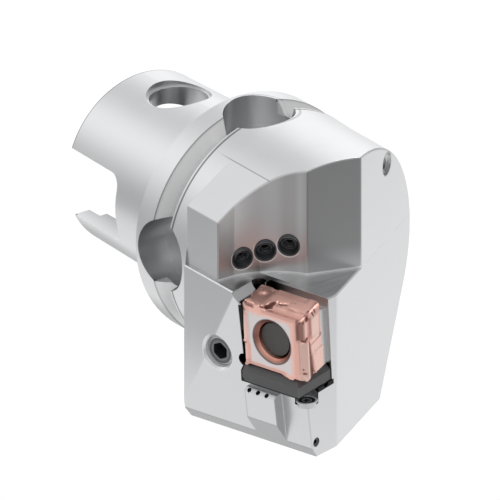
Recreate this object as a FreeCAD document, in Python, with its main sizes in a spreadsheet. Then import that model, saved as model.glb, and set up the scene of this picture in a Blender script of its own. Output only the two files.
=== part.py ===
"""Quick-change turning tool holder with a ball-lock taper shank.

The frame: +X runs along the shank's axis from the machine to the head, +Z is up (the rake side),
and the origin is the centre of the flange's contact face. Lengths are in millimetres.
"""
import FreeCAD, Part
import math
import os

import Sketcher
from FreeCAD import Placement, Rotation, Vector

doc = FreeCAD.newDocument("turning_tool_holder")
sheet = doc.addObject("Spreadsheet::Sheet", "sizes")

SIZES = [
    ("shank_length", 40.85, "gauge plane to the rear end of the shank"),
    ("shank_end_radius", 22.63, "outer radius at the rear end"),
    ("gauge_radius", 23.75, "outer radius at the contact face"),
    ("shank_edge", 0.5, "chamfer on the rear end"),
    ("bore_radius", 16.9, "hollow of the shank"),
    ("bore_bottom_x", 2.0, "bottom of the hollow"),
    ("mouth_radius", 18.6, "counterbore at the mouth"),
    ("mouth_depth", 4.4, "depth of that counterbore"),
    ("ball_hole_x", -24.9, "ball holes, behind the contact face"),
    ("ball_hole_radius", 8.1, "outer part of a ball hole"),
    ("ball_seat_radius", 7.4, "inner part of a ball hole"),
    ("ball_seat_depth", 2.6, "outer part's floor, below the gauge radius"),
    ("notch_depth", 21.3, "drive notches, from the rear end"),
    ("notch_width", 18.3, "width of a drive notch"),
    ("notch_shift", -1.15, "notches lie off centre, so that the head seats one way up"),
    ("notch_corner", 3.5, "radius at the notch's bottom corners"),
    ("flange_radius", 31.5, "flange"),
    ("flange_edge", 0.4, "chamfer on the flange's rims"),
    ("rear_ring", 6.6, "width of the ring behind the gripper groove"),
    ("groove_width", 6.5, "gripper groove at the rim"),
    ("groove_depth", 3.5, "depth of the gripper groove"),
    ("groove_flank", 2.0, "run of each sloping flank"),
    ("pocket_x", 10.3, "round gripper pockets, from the contact face"),
    ("pocket_radius", 9.0, "round gripper pockets"),
    ("pocket_floor", 23.0, "distance of their floors from the axis"),
    ("pocket_turn", 2.4, "upper and lower pockets turned towards the insert's side"),
    ("neck_radius", 31.2, "round body ahead of the flange"),
    ("head_rear_x", 20.5, "rear face of the head's corners"),
    ("head_left_y", -31.5, "left side of the head"),
    ("head_bottom_z", -39.5, "underside of the head"),
    ("shoulder_angle", 33.5, "top left facet's tangent point, from the top"),
    ("back_angle", 29.4, "back facet's tangent point, below the side"),
    ("edge_break", 0.3, "chamfer on the head's outer edges"),
    ("ledge_step", 0.9, "upper left side set back from the lower one"),
    ("end_reach", 49.1, "end face on the axis"),
    ("end_angle", 33.4, "end face, swept back from square"),
    ("lead_angle", 15.0, "insert's approach, from the shank's axis"),
    ("front_reach", 40.9, "front facet at the axis's level, across the lead"),
    ("front_tilt", 8.42, "front facet leans in downwards"),
    ("side_reach", 51.8, "side facet, along the lead"),
    ("toe_reach", 33.6, "foot of the toe chamfer, across the lead"),
    ("toe_slope", 35.8, "toe chamfer, from upright"),
    ("gullet_floor_z", 1.5, "floor of the chip gullet"),
    ("gullet_wall_x", 33.3, "square wall at the left of the gullet"),
    ("gullet_arc_y", -25.9, "where the round wall begins"),
    ("gullet_arc_end_x", 43.1, "where the round wall ends"),
    ("gullet_arc_end_y", -10.7, "where the round wall ends"),
    ("gullet_radius", 21.0, "round wall"),
    ("gullet_wall_angle", 17.8, "last wall of the gullet, from across"),
    ("seat_reach", 43.4, "insert's hole axis, along the lead"),
    ("seat_depth", 31.07, "insert's rear face, across the lead"),
    ("seat_z", -7.8, "insert's hole axis at its rear face"),
    ("seat_tilt", 4.0, "insert leans out at the top"),
    ("insert_width", 20.2, "insert along the lead"),
    ("insert_off", 0.45, "middle of its front face, from the hole's axis along the lead"),
    ("insert_skew", 1.8, "rear face set back from the front one along the lead"),
    ("insert_rise", 0.3, "top rises towards the rear by this"),
    ("insert_height", 17.6, "insert upright"),
    ("insert_thick", 9.75, "insert through its hole"),
    ("insert_corner", 1.6, "corner radius"),
    ("insert_hole", 4.9, "radius of the insert's hole"),
    ("insert_lip", 1.0, "how far the hole's lip opens"),
    ("chip_radius", 4.5, "chip groove's section"),
    ("chip_depth", 0.9, "depth of a chip groove"),
    ("chip_inset", 1.2, "its deepest line, from the cutting edge"),
    ("chip_start", -3.9, "where a long groove begins, from the hole's axis"),
    ("side_chip_start", -1.0, "where a short groove begins, from the hole's axis"),
    ("dimple_radius", 1.4, "small notch at the other end of an edge"),
    ("dimple_length", 4.2, "length of that notch"),
    ("side_dimple_z", -4.3, "foot of the notch on an upright edge"),
    ("shim_thick", 4.4, "shim under the insert"),
    ("shim_front", 10.4, "shim's front, ahead of the rear wall"),
    ("shim_left", 9.85, "shim's left side, from the hole's axis"),
    ("shim_right", 8.2, "shim's free side, from the hole's axis"),
    ("shim_heel", 2.1, "shim's rear right corner, behind the rear wall"),
    ("shim_bevel", 1.5, "bevel along the shim's front"),
    ("relief_depth", 0.95, "relief cut into the left wall"),
    ("relief_share", 0.75, "height of that relief, as a share of the insert's"),
    ("rim_relief", 2.4, "relief behind the insert's top and side"),
    ("end_relief", 7.3, "where the relief at the free side begins, from the hole's axis"),
    ("foot_relief", 5.7, "where it begins beside the shim"),
    ("wall_bevel", 3.05, "bevel on the left wall's top"),
    ("wall_bevel_z", 0.7, "that bevel's foot, above the insert's top"),
    ("corner_relief", 1.8, "radius of the drilled corner"),
    ("screw_along", -19.5, "clamp screw's axis, along the lead"),
    ("screw_across", -9.5, "clamp screw's axis, up from the hole's axis"),
    ("screw_radius", 4.0, "clamp screw's thread"),
    ("screw_face", 6.4, "clamp screw's outer end, ahead of the rear wall"),
    ("screw_edge", 0.65, "chamfer on the clamp screw's end"),
    ("screw_neck", 2.2, "radius of the neck that the lever grips"),
    ("screw_collar", 3.5, "radius of the collar under the neck"),
    ("collar_thick", 2.0, "thickness of that collar"),
    ("screw_hex", 4.0, "hexagon socket, across its flats"),
    ("screw_hex_depth", 4.5, "depth of the socket"),
    ("fit_gap", 0.08, "radial clearance of a sliding or running fit"),
    ("seat_gap", 0.3, "clearance round parts that only pass each other"),
    ("nose_radius", 4.35, "lever's nose in the insert's hole"),
    ("nose_recess", 1.85, "nose lies below the insert's face"),
    ("nose_length", 5.7, "length of the nose"),
    ("lever_neck", 3.1, "radius below the nose"),
    ("knee_depth", 7.0, "lever's pivot, behind the rear wall"),
    ("knee_radius", 4.2, "round knee that the lever rocks on"),
    ("lever_width", 9.0, "lever across"),
    ("arm_thick", 3.0, "thickness of the lever's arm"),
    ("arm_end", 2.6, "arm beyond the screw's axis"),
    ("rock_angle", 3.0, "lever's rocking from clamped to free"),
    ("feed_radius", 3.5, "central coolant feed"),
    ("feed_end_x", 26.0, "end of that feed"),
    ("duct_radius", 1.4, "coolant ducts in the head"),
    ("nozzle_radius", 2.85, "rake nozzles"),
    ("nozzle_length", 6.0, "length of a rake nozzle"),
    ("nozzle_cup", 2.15, "radius of a nozzle's open cup"),
    ("nozzle_cup_depth", 2.4, "depth of the cup"),
    ("nozzle_step", 1.35, "radius of the socket under the cup"),
    ("nozzle_step_depth", 3.8, "depth of that socket, from the wall"),
    ("nozzle_jet", 0.6, "radius of the jet"),
    ("nozzle_pitch", 20.0, "nozzles point down by this"),
    ("nozzle_bearing", 150.2, "middle nozzle's place on the round wall"),
    ("nozzle_spread", 15.8, "from one nozzle to the next on the round wall"),
    ("nozzle_z", 7.5, "middle nozzle's height"),
    ("nozzle_z_step", 1.45, "rise from one nozzle to the next"),
    ("sump_z", -34.0, "lower coolant duct's depth"),
    ("boss_left", 34.3, "flank coolant boss, along the lead"),
    ("boss_width", 9.4, "width of the boss"),
    ("boss_rise", 3.0, "boss proud of the front facet"),
    ("boss_top_z", -23.3, "top of the boss"),
    ("boss_bevel", 1.1, "bevel that the flank jets leave from"),
    ("jet_radius", 0.6, "flank jets"),
    ("jet_shift", -0.7, "flank jets off the boss's middle"),
    ("jet_pitch", 2.7, "distance between flank jets"),
    ("plug_radius", 1.2, "plug of the flank duct"),
    ("plug_length", 4.0, "depth of that plug's seat"),
    ("plug_recess", 0.4, "plug lies below the side facet"),
    ("flank_duct_radius", 0.95, "duct behind that plug"),
    ("plug_n", 33.9, "flank duct, across the lead"),
    ("plug_z", -35.4, "flank duct's height"),
    ("port_y", 17.6, "plugged port in the end face"),
    ("port_z", 21.8, "height of that port"),
    ("port_radius", 2.9, "radius of that port"),
    ("port_length", 6.0, "length of its plug"),
    ("port_recess", 0.8, "plug lies below the end face"),
    ("mouth_edge", 0.9, "chamfer at the mouth of the clamp screw's bore"),
    ("tap_h", 50.0, "screw of the upright duct, along the lead"),
    ("tap_n", 35.4, "screw of the upright duct, across the lead"),
    ("tap_z", -23.9, "top of its head"),
    ("tap_head", 2.3, "radius of its head"),
    ("tap_head_thick", 1.3, "thickness of its head"),
    ("tap_mouth", 2.9, "radius of the notch that the head stands in"),
    ("tap_radius", 1.1, "radius of its thread"),
    ("tap_length", 3.0, "length of its thread"),
    ("star_socket", 1.71, "a star socket, across its flats"),
    ("star_depth", 1.1, "depth of a star socket"),
    ("shim_screw_x", 3.2, "shim's screw, from the hole's axis towards the free side"),
    ("shim_screw_y", -3.6, "shim's screw, ahead of the rear wall"),
    ("shim_screw_head", 2.9, "radius of its sunk head"),
    ("shim_screw_radius", 1.6, "radius of its thread"),
    ("shim_screw_sunk", 0.4, "head lies below the shim's top"),
    ("shim_screw_length", 10.5, "length of that screw"),
    ("seal_radius", 8.0, "coolant seal, ring's middle radius"),
    ("seal_section", 1.0, "coolant seal, section's radius"),
    ("seal_seat", 1.4, "depth of the seal's groove"),
]

for row, (alias, value, note) in enumerate(SIZES, start=1):
    sheet.set(f"A{row}", note)
    sheet.set(f"B{row}", repr(value))
    sheet.setAlias(f"B{row}", alias)
doc.recompute()

BEYOND = 60.0      # cutters reach this far past the object
CLEAR = 2.0        # cutters start this far outside a face
NUDGE = 1.0        # neighbouring cutters overlap by this
SAME = 0.01        # points closer than this are one
SMOOTH = 8.0       # faces that meet within this angle run on into each other, degrees
BESIDE = 0.05      # an edge's two sides are told apart this far from it


def size(alias):
    """Value of one named size."""
    return float(sheet.get(alias))


def bind(item, rules):
    """Tie properties of an object to named sizes."""
    for path, rule in rules.items():
        item.setExpression(path, rule)
    return item


def box(name, length, width, height, place=Placement()):
    """A block whose low corner is at a placement; its three sizes are rules on the named sizes."""
    block = doc.addObject("Part::Box", name)
    block.Placement = place
    return bind(block, {"Length": length, "Width": width, "Height": height})


def rod(name, radius, height, place):
    """A cylinder that starts at a placement and runs along its own Z."""
    cylinder = doc.addObject("Part::Cylinder", name)
    cylinder.Placement = place
    return bind(cylinder, {"Radius": radius, "Height": height})


def cone(name, radius_low, radius_high, height, place):
    """A cone that starts at a placement and runs along its own Z."""
    taper = doc.addObject("Part::Cone", name)
    taper.Placement = place
    return bind(taper, {"Radius1": radius_low, "Radius2": radius_high, "Height": height})


def hexagon(name, flats, height, place):
    """A hexagonal prism, given across its flats."""
    prism = doc.addObject("Part::Prism", name)
    prism.Polygon = 6
    prism.Placement = place
    return bind(prism, {"Circumradius": f"({flats}) / (2 * cos(30 deg))", "Height": height})


def fuse(name, pieces):
    """Several solids made one, step by step."""
    joined = pieces[0]
    for number, piece in enumerate(pieces[1:]):
        step = doc.addObject("Part::Fuse", f"{name}_{number}")
        step.Base = joined
        step.Tool = piece
        joined = step
    return joined


def cut(name, base, tool):
    """One solid less another."""
    result = doc.addObject("Part::Cut", name)
    result.Base = base
    result.Tool = tool
    return result


def aim(start, direction):
    """Placement whose own Z points along a direction."""
    return Placement(start, Rotation(Vector(0, 0, 1), direction))


def origin_plane(body, role):
    """One of a body's own origin planes."""
    return next(plane for plane in body.Origin.OriginFeatures if plane.Role == role)


def sketch_on(body, name, role, offset="0"):
    """A sketch on one of the body's planes, moved along its normal."""
    sketch = body.newObject("Sketcher::SketchObject", name)
    sketch.AttachmentSupport = [(origin_plane(body, role), "")]
    sketch.MapMode = "FlatFace"
    sketch.setExpression("AttachmentOffset.Base.z", offset)
    return sketch


def arc_between(start, end, radius):
    """Arc bulging to the left of the way from start to end, less than half a turn."""
    half = (end - start) / 2
    rise = math.sqrt(radius ** 2 - half.Length ** 2)
    left = Vector(-half.y, half.x, 0).normalize()
    centre = start + half - left * rise
    circle = Part.Circle(centre, Vector(0, 0, 1), radius)
    return Part.ArcOfCircle(circle, circle.parameter(end), circle.parameter(start))


def outline(sketch, corners):
    """A closed outline whose corners are rules; a third entry is the radius of an arc to the next."""
    points = [Vector(float(sheet.evalExpression(c[0])), float(sheet.evalExpression(c[1])), 0)
              for c in corners]
    ends = []
    for index, corner in enumerate(corners):
        start, end = points[index], points[(index + 1) % len(points)]
        if len(corner) > 2:
            edge = sketch.addGeometry(arc_between(start, end, size(corner[2])), False)
            limit = sketch.addConstraint(Sketcher.Constraint("Radius", edge, size(corner[2])))
            sketch.setExpression(f"Constraints[{limit}]", f"sizes.{corner[2]}")
            ends.append((edge, 2, 1))
        else:
            edge = sketch.addGeometry(Part.LineSegment(start, end), False)
            ends.append((edge, 1, 2))
    for index, (edge, first, last) in enumerate(ends):
        after, after_first, _ = ends[(index + 1) % len(ends)]
        sketch.addConstraint(Sketcher.Constraint("Coincident", edge, last, after, after_first))
    for index, (edge, first, last) in enumerate(ends):
        for kind, rule, value in (("DistanceX", corners[index][0], points[index].x),
                                  ("DistanceY", corners[index][1], points[index].y)):
            number = sketch.addConstraint(Sketcher.Constraint(kind, edge, first, value))
            sketch.setExpression(f"Constraints[{number}]", rule)


def new_body(name):
    """A body that is built from sketches."""
    return doc.addObject("PartDesign::Body", name)


def pad(body, name, role, corners, length, offset="0"):
    """A straight extrusion of an outline."""
    sketch = sketch_on(body, name + "_sketch", role, offset)
    outline(sketch, corners)
    block = body.newObject("PartDesign::Pad", name)
    block.Profile = sketch
    block.setExpression("Length", length)
    return block


# The shank, the flange and the round neck are turned as one piece.
blank = new_body("turned_blank")
profile = sketch_on(blank, "turned_profile", "XZ_Plane")
outline(profile, [
    ("sizes.bore_bottom_x", "0"),
    ("sizes.bore_bottom_x", "sizes.bore_radius"),
    ("sizes.mouth_depth - sizes.shank_length", "sizes.bore_radius"),
    ("sizes.mouth_depth - sizes.shank_length", "sizes.mouth_radius"),
    ("-sizes.shank_length", "sizes.mouth_radius"),
    ("-sizes.shank_length", "sizes.shank_end_radius - sizes.shank_edge"),
    ("sizes.shank_edge - sizes.shank_length", "sizes.shank_end_radius"),
    ("0", "sizes.gauge_radius"),
    ("0", "sizes.flange_radius - sizes.flange_edge"),
    ("sizes.flange_edge", "sizes.flange_radius"),
    ("sizes.rear_ring", "sizes.flange_radius"),
    ("sizes.rear_ring + sizes.groove_flank", "sizes.flange_radius - sizes.groove_depth"),
    ("sizes.rear_ring + sizes.groove_width - sizes.groove_flank",
     "sizes.flange_radius - sizes.groove_depth"),
    ("sizes.rear_ring + sizes.groove_width", "sizes.flange_radius"),
    ("sizes.head_rear_x", "sizes.neck_radius"),
    (f"sizes.end_reach + {BEYOND}", "sizes.neck_radius"),
    (f"sizes.end_reach + {BEYOND}", "0"),
])
turned = blank.newObject("PartDesign::Revolution", "turning")
turned.Profile = profile
turned.ReferenceAxis = (profile, ["H_Axis"])
turned.Angle = 360
doc.recompute()

# The head's corners are milled from the bar: facets run off the round at a tangent.
SHOULDER_Y = "(-sizes.neck_radius * sin(sizes.shoulder_angle * 1 deg))"
SHOULDER_Z = "(sizes.neck_radius * cos(sizes.shoulder_angle * 1 deg))"
BACK_Y = "(sizes.neck_radius * cos(sizes.back_angle * 1 deg))"
BACK_Z = "(-sizes.neck_radius * sin(sizes.back_angle * 1 deg))"
head = pad(blank, "head_block", "YZ_Plane", [
    (SHOULDER_Y, SHOULDER_Z),
    ("sizes.head_left_y",
     f"{SHOULDER_Z} + (sizes.head_left_y - {SHOULDER_Y}) * tan(sizes.shoulder_angle * 1 deg)"),
    ("sizes.head_left_y", "sizes.head_bottom_z"),
    (f"{BACK_Y} + (sizes.head_bottom_z - {BACK_Z}) * tan(sizes.back_angle * 1 deg)",
     "sizes.head_bottom_z"),
    (BACK_Y, BACK_Z),
], f"sizes.end_reach + {BEYOND} - sizes.head_rear_x", "sizes.head_rear_x")
doc.recompute()

# Frames of the tilted features: across the lead, on the insert's seat, and along the lever.
LEAD = Placement(Vector(0, 0, 0), Rotation(Vector(0, 0, 1), size("lead_angle")))
SEAT = LEAD * Placement(Vector(size("seat_reach"), -size("seat_depth"), size("seat_z")),
                        Rotation(Vector(1, 0, 0), size("seat_tilt")))
LEVER_TURN = math.degrees(math.atan2(-size("screw_across"), size("screw_along")))
LEVER = SEAT * Placement(Vector(0, 0, 0), Rotation(Vector(0, 1, 0), LEVER_TURN))
LEVER_REACH = math.hypot(size("screw_along"), size("screw_across"))
NOSE_SHIFT = size("insert_hole") - size("nose_radius") - size("fit_gap")


def seat(x, y, z, direction=Vector(0, 0, 1)):
    """Placement in the seat's frame, its own Z along a direction of that frame."""
    return SEAT * aim(Vector(x, y, z), direction)


def lever_at(x, y, z, direction=Vector(0, 1, 0)):
    """Placement in the lever's frame, by default pointing into the body."""
    return LEVER * aim(Vector(x, y, z), direction)


def across_lead(h, n, z, direction=Vector(0, 0, 1)):
    """Placement given along the lead, across it towards the front, and up."""
    return LEAD * aim(Vector(h, -n, z), direction)


# The end face is swept back and cuts everything off square to the top.
end_cutter = new_body("end_cutter")
pad(end_cutter, "beyond_end", "XY_Plane", [
    (f"sizes.end_reach + {BEYOND} * tan(sizes.end_angle * 1 deg)", f"-{BEYOND}"),
    (f"sizes.end_reach + {2 * BEYOND}", f"-{BEYOND}"),
    (f"sizes.end_reach + {2 * BEYOND}", f"{BEYOND}"),
    (f"sizes.end_reach - {BEYOND} * tan(sizes.end_angle * 1 deg)", f"{BEYOND}"),
], f"{2 * BEYOND}", f"-{BEYOND}")

# The chip gullet is open above its floor: a square wall, a round wall, a slanted one.
gullet = new_body("gullet_cutter")
pad(gullet, "gullet_space", "XY_Plane", [
    ("sizes.gullet_wall_x", f"-{BEYOND}"),
    ("sizes.gullet_wall_x", "sizes.gullet_arc_y", "gullet_radius"),
    ("sizes.gullet_arc_end_x", "sizes.gullet_arc_end_y"),
    (f"sizes.gullet_arc_end_x + {BEYOND} * tan(sizes.gullet_wall_angle * 1 deg)",
     f"sizes.gullet_arc_end_y + {BEYOND}"),
    (f"sizes.end_reach + {2 * BEYOND}", f"sizes.gullet_arc_end_y + {BEYOND}"),
    (f"sizes.end_reach + {2 * BEYOND}", f"-{BEYOND}"),
], f"{BEYOND}", "sizes.gullet_floor_z")

# The upper left side is set back by a small ledge at the gullet's level.
ledge = box("ledge_cutter", "sizes.end_reach", f"sizes.ledge_step + {CLEAR}", f"{BEYOND}",
            Placement(Vector(size("head_rear_x"), size("head_left_y") - CLEAR,
                             size("gullet_floor_z")), Rotation()))

# The left side is flat also where a larger round body would stand proud of it.
left = box("left_cutter", f"{2 * BEYOND}", f"{BEYOND}", f"{3 * BEYOND}",
           Placement(Vector(size("head_rear_x"), size("head_left_y") - BEYOND, -2 * BEYOND),
                     Rotation()))

# Facets that stand across the lead: the side, the front, and the toe that cuts the front's foot.
side = box("side_cutter", f"{BEYOND}", f"{2 * BEYOND}", f"{2 * BEYOND}",
           across_lead(size("side_reach"), BEYOND, -BEYOND))


def leaning(name, reach, z, tilt):
    """All that lies ahead of a plane across the lead that leans out upwards."""
    place = across_lead(0, reach, z) * Placement(Vector(), Rotation(Vector(1, 0, 0), tilt))
    start = Placement(Vector(-BEYOND, -BEYOND, -BEYOND), Rotation())
    return box(name, f"{3 * BEYOND}", f"{BEYOND}", f"{2 * BEYOND}", place * start)


front = leaning("front_cutter", size("front_reach"), 0, size("front_tilt"))
toe = leaning("toe_cutter", size("toe_reach"), size("head_bottom_z"), size("toe_slope"))

# The boss that carries the flank jets stands on the front facet.
boss_block = box("boss_block", "sizes.boss_width", "sizes.front_reach",
                 "sizes.boss_top_z - sizes.head_bottom_z",
                 across_lead(size("boss_left"), size("front_reach") + size("boss_rise"),
                             size("head_bottom_z")))
boss_face = leaning("boss_face", size("front_reach") + size("boss_rise"), 0, size("front_tilt"))
boss_front = size("front_reach") + size("boss_rise") + math.tan(
    math.radians(size("front_tilt"))) * size("boss_top_z")
boss_bevel = box("boss_bevel", "sizes.boss_width * 2", "sizes.boss_bevel * sqrt(2)",
                 "sizes.boss_bevel * sqrt(2)",
                 across_lead(size("boss_left") - CLEAR, boss_front, size("boss_top_z"))
                 * Placement(Vector(), Rotation(Vector(1, 0, 0), 45))
                 * Placement(Vector(0, -size("boss_bevel") / math.sqrt(2),
                                    -size("boss_bevel") / math.sqrt(2)), Rotation()))
boss = cut("boss", boss_block, fuse("boss_cutters", [boss_face, boss_bevel]))

# Drive notches, ball holes and gripper pockets in the shank and the flange.
notch_reach = size("shank_length") + CLEAR
notch_block = box("notch_block", f"sizes.notch_depth + {CLEAR}", f"{BEYOND}", "sizes.notch_width",
                  Placement(Vector(-notch_reach, -BEYOND / 2,
                                   size("notch_shift") - size("notch_width") / 2), Rotation()))
doc.recompute()
notch = doc.addObject("Part::Fillet", "notch_cutter")
notch.Base = notch_block
inner_x = -notch_reach + size("notch_depth") + CLEAR
notch.Edges = [(number, size("notch_corner"), size("notch_corner"))
               for number, edge in enumerate(notch_block.Shape.Edges, start=1)
               if all(abs(vertex.X - inner_x) < SAME for vertex in edge.Vertexes)
               and abs(edge.Vertexes[0].Y - edge.Vertexes[1].Y) > NUDGE]

shank_cutters = [notch]
UP = Vector(0, 0, 1)
DOWN = Vector(0, 0, -1)
for side_name, way in (("top", UP), ("bottom", DOWN)):
    middle = Vector(size("ball_hole_x"), 0, 0)
    shoulder = size("gauge_radius") - size("ball_seat_depth")
    shank_cutters.append(rod(f"ball_hole_{side_name}", "sizes.ball_seat_radius",
                             "sizes.flange_radius", aim(middle, way)))
    shank_cutters.append(rod(f"ball_mouth_{side_name}", "sizes.ball_hole_radius",
                             "sizes.flange_radius", aim(middle + way * shoulder, way)))
for turn in range(4):
    skew = size("pocket_turn") if turn % 2 == 0 else 0
    way = Rotation(Vector(1, 0, 0), 90 * turn + skew) * UP
    start = Vector(size("pocket_x"), 0, 0) + way * size("pocket_floor")
    shank_cutters.append(rod(f"gripper_pocket_{turn}", "sizes.pocket_radius",
                             "sizes.flange_radius", aim(start, way)))

# The insert's pocket, open at the top, the front and the right, in the seat's frame.
half_width = size("insert_width") / 2
half_height = size("insert_height") / 2
insert_left = size("insert_off") - half_width
insert_right = size("insert_off") + half_width
rear_left = insert_left - size("insert_skew")
floor_z = -half_height - size("shim_thick")
wall_skew = math.degrees(math.atan2(size("insert_skew"), size("insert_thick")))


def pocket_box(name, left, back, low, high=None):
    """A block that is open towards the front and the right."""
    height = (high if high is not None else BEYOND) - low
    return box(name, f"{BEYOND}", f"{BEYOND} + {back}", f"{height}",
               seat(left, -BEYOND, low))


pocket = [
    pocket_box("pocket_main", insert_left, 0, floor_z),
    pocket_box("pocket_rim", insert_left, size("rim_relief"), half_height - size("rim_relief")),
    pocket_box("pocket_end", size("end_relief"), size("rim_relief"), floor_z),
    pocket_box("pocket_foot", size("foot_relief"), size("rim_relief"), floor_z, -half_height),
    box("pocket_skew", "sizes.insert_skew", f"{BEYOND}", f"{BEYOND}",
        seat(rear_left, 0, floor_z) * Placement(Vector(), Rotation(Vector(0, 0, 1), wall_skew))
        * Placement(Vector(0, -BEYOND, 0), Rotation())),
    box("pocket_side", "sizes.relief_depth * 2", f"{BEYOND}",
        "sizes.insert_height * sizes.relief_share",
        seat(insert_left - size("relief_depth"), -BEYOND, floor_z)),
    rod("pocket_corner", "sizes.corner_relief", f"{BEYOND}", seat(rear_left, 0, floor_z)),
    rod("pocket_heel", "sizes.corner_relief", f"{BEYOND}",
        seat(insert_left - size("relief_depth"), -BEYOND, -half_height, Vector(0, 1, 0))),
    rod("pocket_root", "sizes.corner_relief / 2", "sizes.insert_width",
        seat(rear_left, 0, floor_z, Vector(1, 0, 0))),
    box("pocket_bevel", "sizes.wall_bevel * sqrt(2)", f"{BEYOND}", "sizes.wall_bevel * sqrt(2)",
        seat(insert_left, -BEYOND, half_height + size("wall_bevel_z") - size("wall_bevel"))
        * Placement(Vector(), Rotation(Vector(0, 1, 0), -45))),
]

# The clamp: a bell-crank lever rocks on its knee, moved by a screw that grips its arm.
screw_start = -size("screw_face")
arm_out = size("knee_depth") - size("arm_thick") / 2
arm_in = size("knee_depth") + size("arm_thick") / 2
swing = (LEVER_REACH + size("arm_end")) * math.tan(math.radians(size("rock_angle")))
screw_on_seat = SEAT * Vector(size("screw_along"), 0, size("screw_across"))
facet_n = size("front_reach") + screw_on_seat.z * math.tan(math.radians(size("front_tilt")))
screw_n = -(LEAD.inverse() * screw_on_seat).y
facet_at_screw = screw_n - facet_n
collar_end = arm_in + size("seat_gap") + size("collar_thick")
clamp_cutters = [
    rod("screw_bore", "sizes.screw_radius + sizes.fit_gap",
        f"{BEYOND} + {collar_end} + sizes.seat_gap", lever_at(LEVER_REACH, -BEYOND, 0)),
    cone("screw_mouth", "sizes.screw_radius + sizes.fit_gap + sizes.mouth_edge * 2",
         "sizes.screw_radius + sizes.fit_gap", "sizes.mouth_edge * 2",
         lever_at(LEVER_REACH, facet_at_screw - size("mouth_edge"), 0)),
    rod("knee_seat", "sizes.knee_radius + sizes.fit_gap",
        "sizes.lever_width + 2 * sizes.seat_gap",
        lever_at(NOSE_SHIFT, size("knee_depth"), -size("lever_width") / 2 - size("seat_gap"),
                 Vector(0, 0, 1))),
    box("knee_way", "sizes.knee_radius * 2 + sizes.seat_gap * 2", f"sizes.knee_depth + {NUDGE}",
        "sizes.lever_width + 2 * sizes.seat_gap",
        LEVER * Placement(Vector(NOSE_SHIFT - size("knee_radius") - size("seat_gap"), -NUDGE,
                                 -size("lever_width") / 2 - size("seat_gap")), Rotation())),
    box("arm_way", f"{LEVER_REACH} + sizes.arm_end + sizes.seat_gap",
        f"{swing} + sizes.arm_thick + 2 * sizes.seat_gap",
        "sizes.lever_width + 2 * sizes.seat_gap",
        LEVER * Placement(Vector(0, arm_out - swing - size("seat_gap"),
                                 -size("lever_width") / 2 - size("seat_gap")), Rotation())),
]

# The shim's screw goes down through the shim; a star-socket screw closes the upright duct.
shim_screw_top = -half_height - size("shim_screw_sunk")
tap_top = across_lead(size("tap_h"), size("tap_n"), size("tap_z")).Base
tap_seat = tap_top - Vector(0, 0, size("tap_head_thick"))
tap_foot = tap_seat - Vector(0, 0, size("tap_length"))
plug_cutters = [
    rod("shim_screw_bore", "sizes.shim_screw_radius", "sizes.shim_screw_length",
        seat(size("shim_screw_x"), size("shim_screw_y"),
             shim_screw_top - size("shim_screw_length"))),
    rod("tap_bore", "sizes.tap_radius", f"sizes.tap_length + {CLEAR}", aim(tap_foot, UP)),
    rod("tap_notch", "sizes.tap_mouth", "sizes.tap_length * 2", aim(tap_seat, UP)),
]

# Coolant runs from the shank through a central feed to the rake nozzles and the flank jets.
feed_end = Vector(size("feed_end_x"), 0, 0)
feed_start = Vector(size("bore_bottom_x") - CLEAR, 0, 0)
feed = rod("feed_bore", "sizes.feed_radius", f"sizes.feed_end_x - sizes.bore_bottom_x + {CLEAR}",
           aim(feed_start, Vector(1, 0, 0)))
seal_groove = cut("seal_groove",
                  rod("seal_outer", "sizes.seal_radius + sizes.seal_section",
                      f"sizes.seal_seat + {CLEAR}", aim(feed_start, Vector(1, 0, 0))),
                  rod("seal_inner", "sizes.seal_radius - sizes.seal_section",
                      f"sizes.seal_seat + {CLEAR}", aim(feed_start, Vector(1, 0, 0))))


def duct(name, start, end, radius="sizes.duct_radius"):
    """A straight coolant duct between two points."""
    return rod(name, radius, f"{(end - start).Length}", aim(start, end - start))


arc_start = Vector(size("gullet_wall_x"), size("gullet_arc_y"), 0)
arc_end = Vector(size("gullet_arc_end_x"), size("gullet_arc_end_y"), 0)
wall_centre = arc_between(arc_start, arc_end, size("gullet_radius")).Center
pitch = math.radians(size("nozzle_pitch"))
NOZZLES = []
for step, nozzle_name in ((1, "left"), (0, "middle"), (-1, "right")):
    bearing = math.radians(size("nozzle_bearing") + step * size("nozzle_spread"))
    outward = Vector(-math.cos(bearing), -math.sin(bearing), 0)
    wall_point = wall_centre - outward * size("gullet_radius")
    wall_point.z = size("nozzle_z") - step * size("nozzle_z_step")
    NOZZLES.append((nozzle_name, wall_point,
                    outward * math.cos(pitch) - Vector(0, 0, 1) * math.sin(pitch)))

coolant_cutters = [feed, seal_groove]
for nozzle_name, wall_point, way in NOZZLES:
    back = wall_point - way * size("nozzle_length")
    coolant_cutters.append(rod(f"nozzle_bore_{nozzle_name}", "sizes.nozzle_radius",
                               f"sizes.nozzle_length + {CLEAR}", aim(back, way)))
    coolant_cutters.append(duct(f"nozzle_duct_{nozzle_name}", back + way * NUDGE, feed_end))

end_out = Vector(math.cos(math.radians(size("end_angle"))),
                 math.sin(math.radians(size("end_angle"))), 0)
port_face = Vector(size("end_reach") - size("port_y") * math.tan(math.radians(size("end_angle"))),
                   size("port_y"), size("port_z"))
port_back = port_face - end_out * (size("port_length") + size("port_recess"))
coolant_cutters.append(rod("port_bore", "sizes.port_radius", "sizes.port_length * 2",
                           aim(port_back, end_out)))
coolant_cutters.append(duct("port_duct", port_back + end_out * NUDGE, feed_end))

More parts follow.
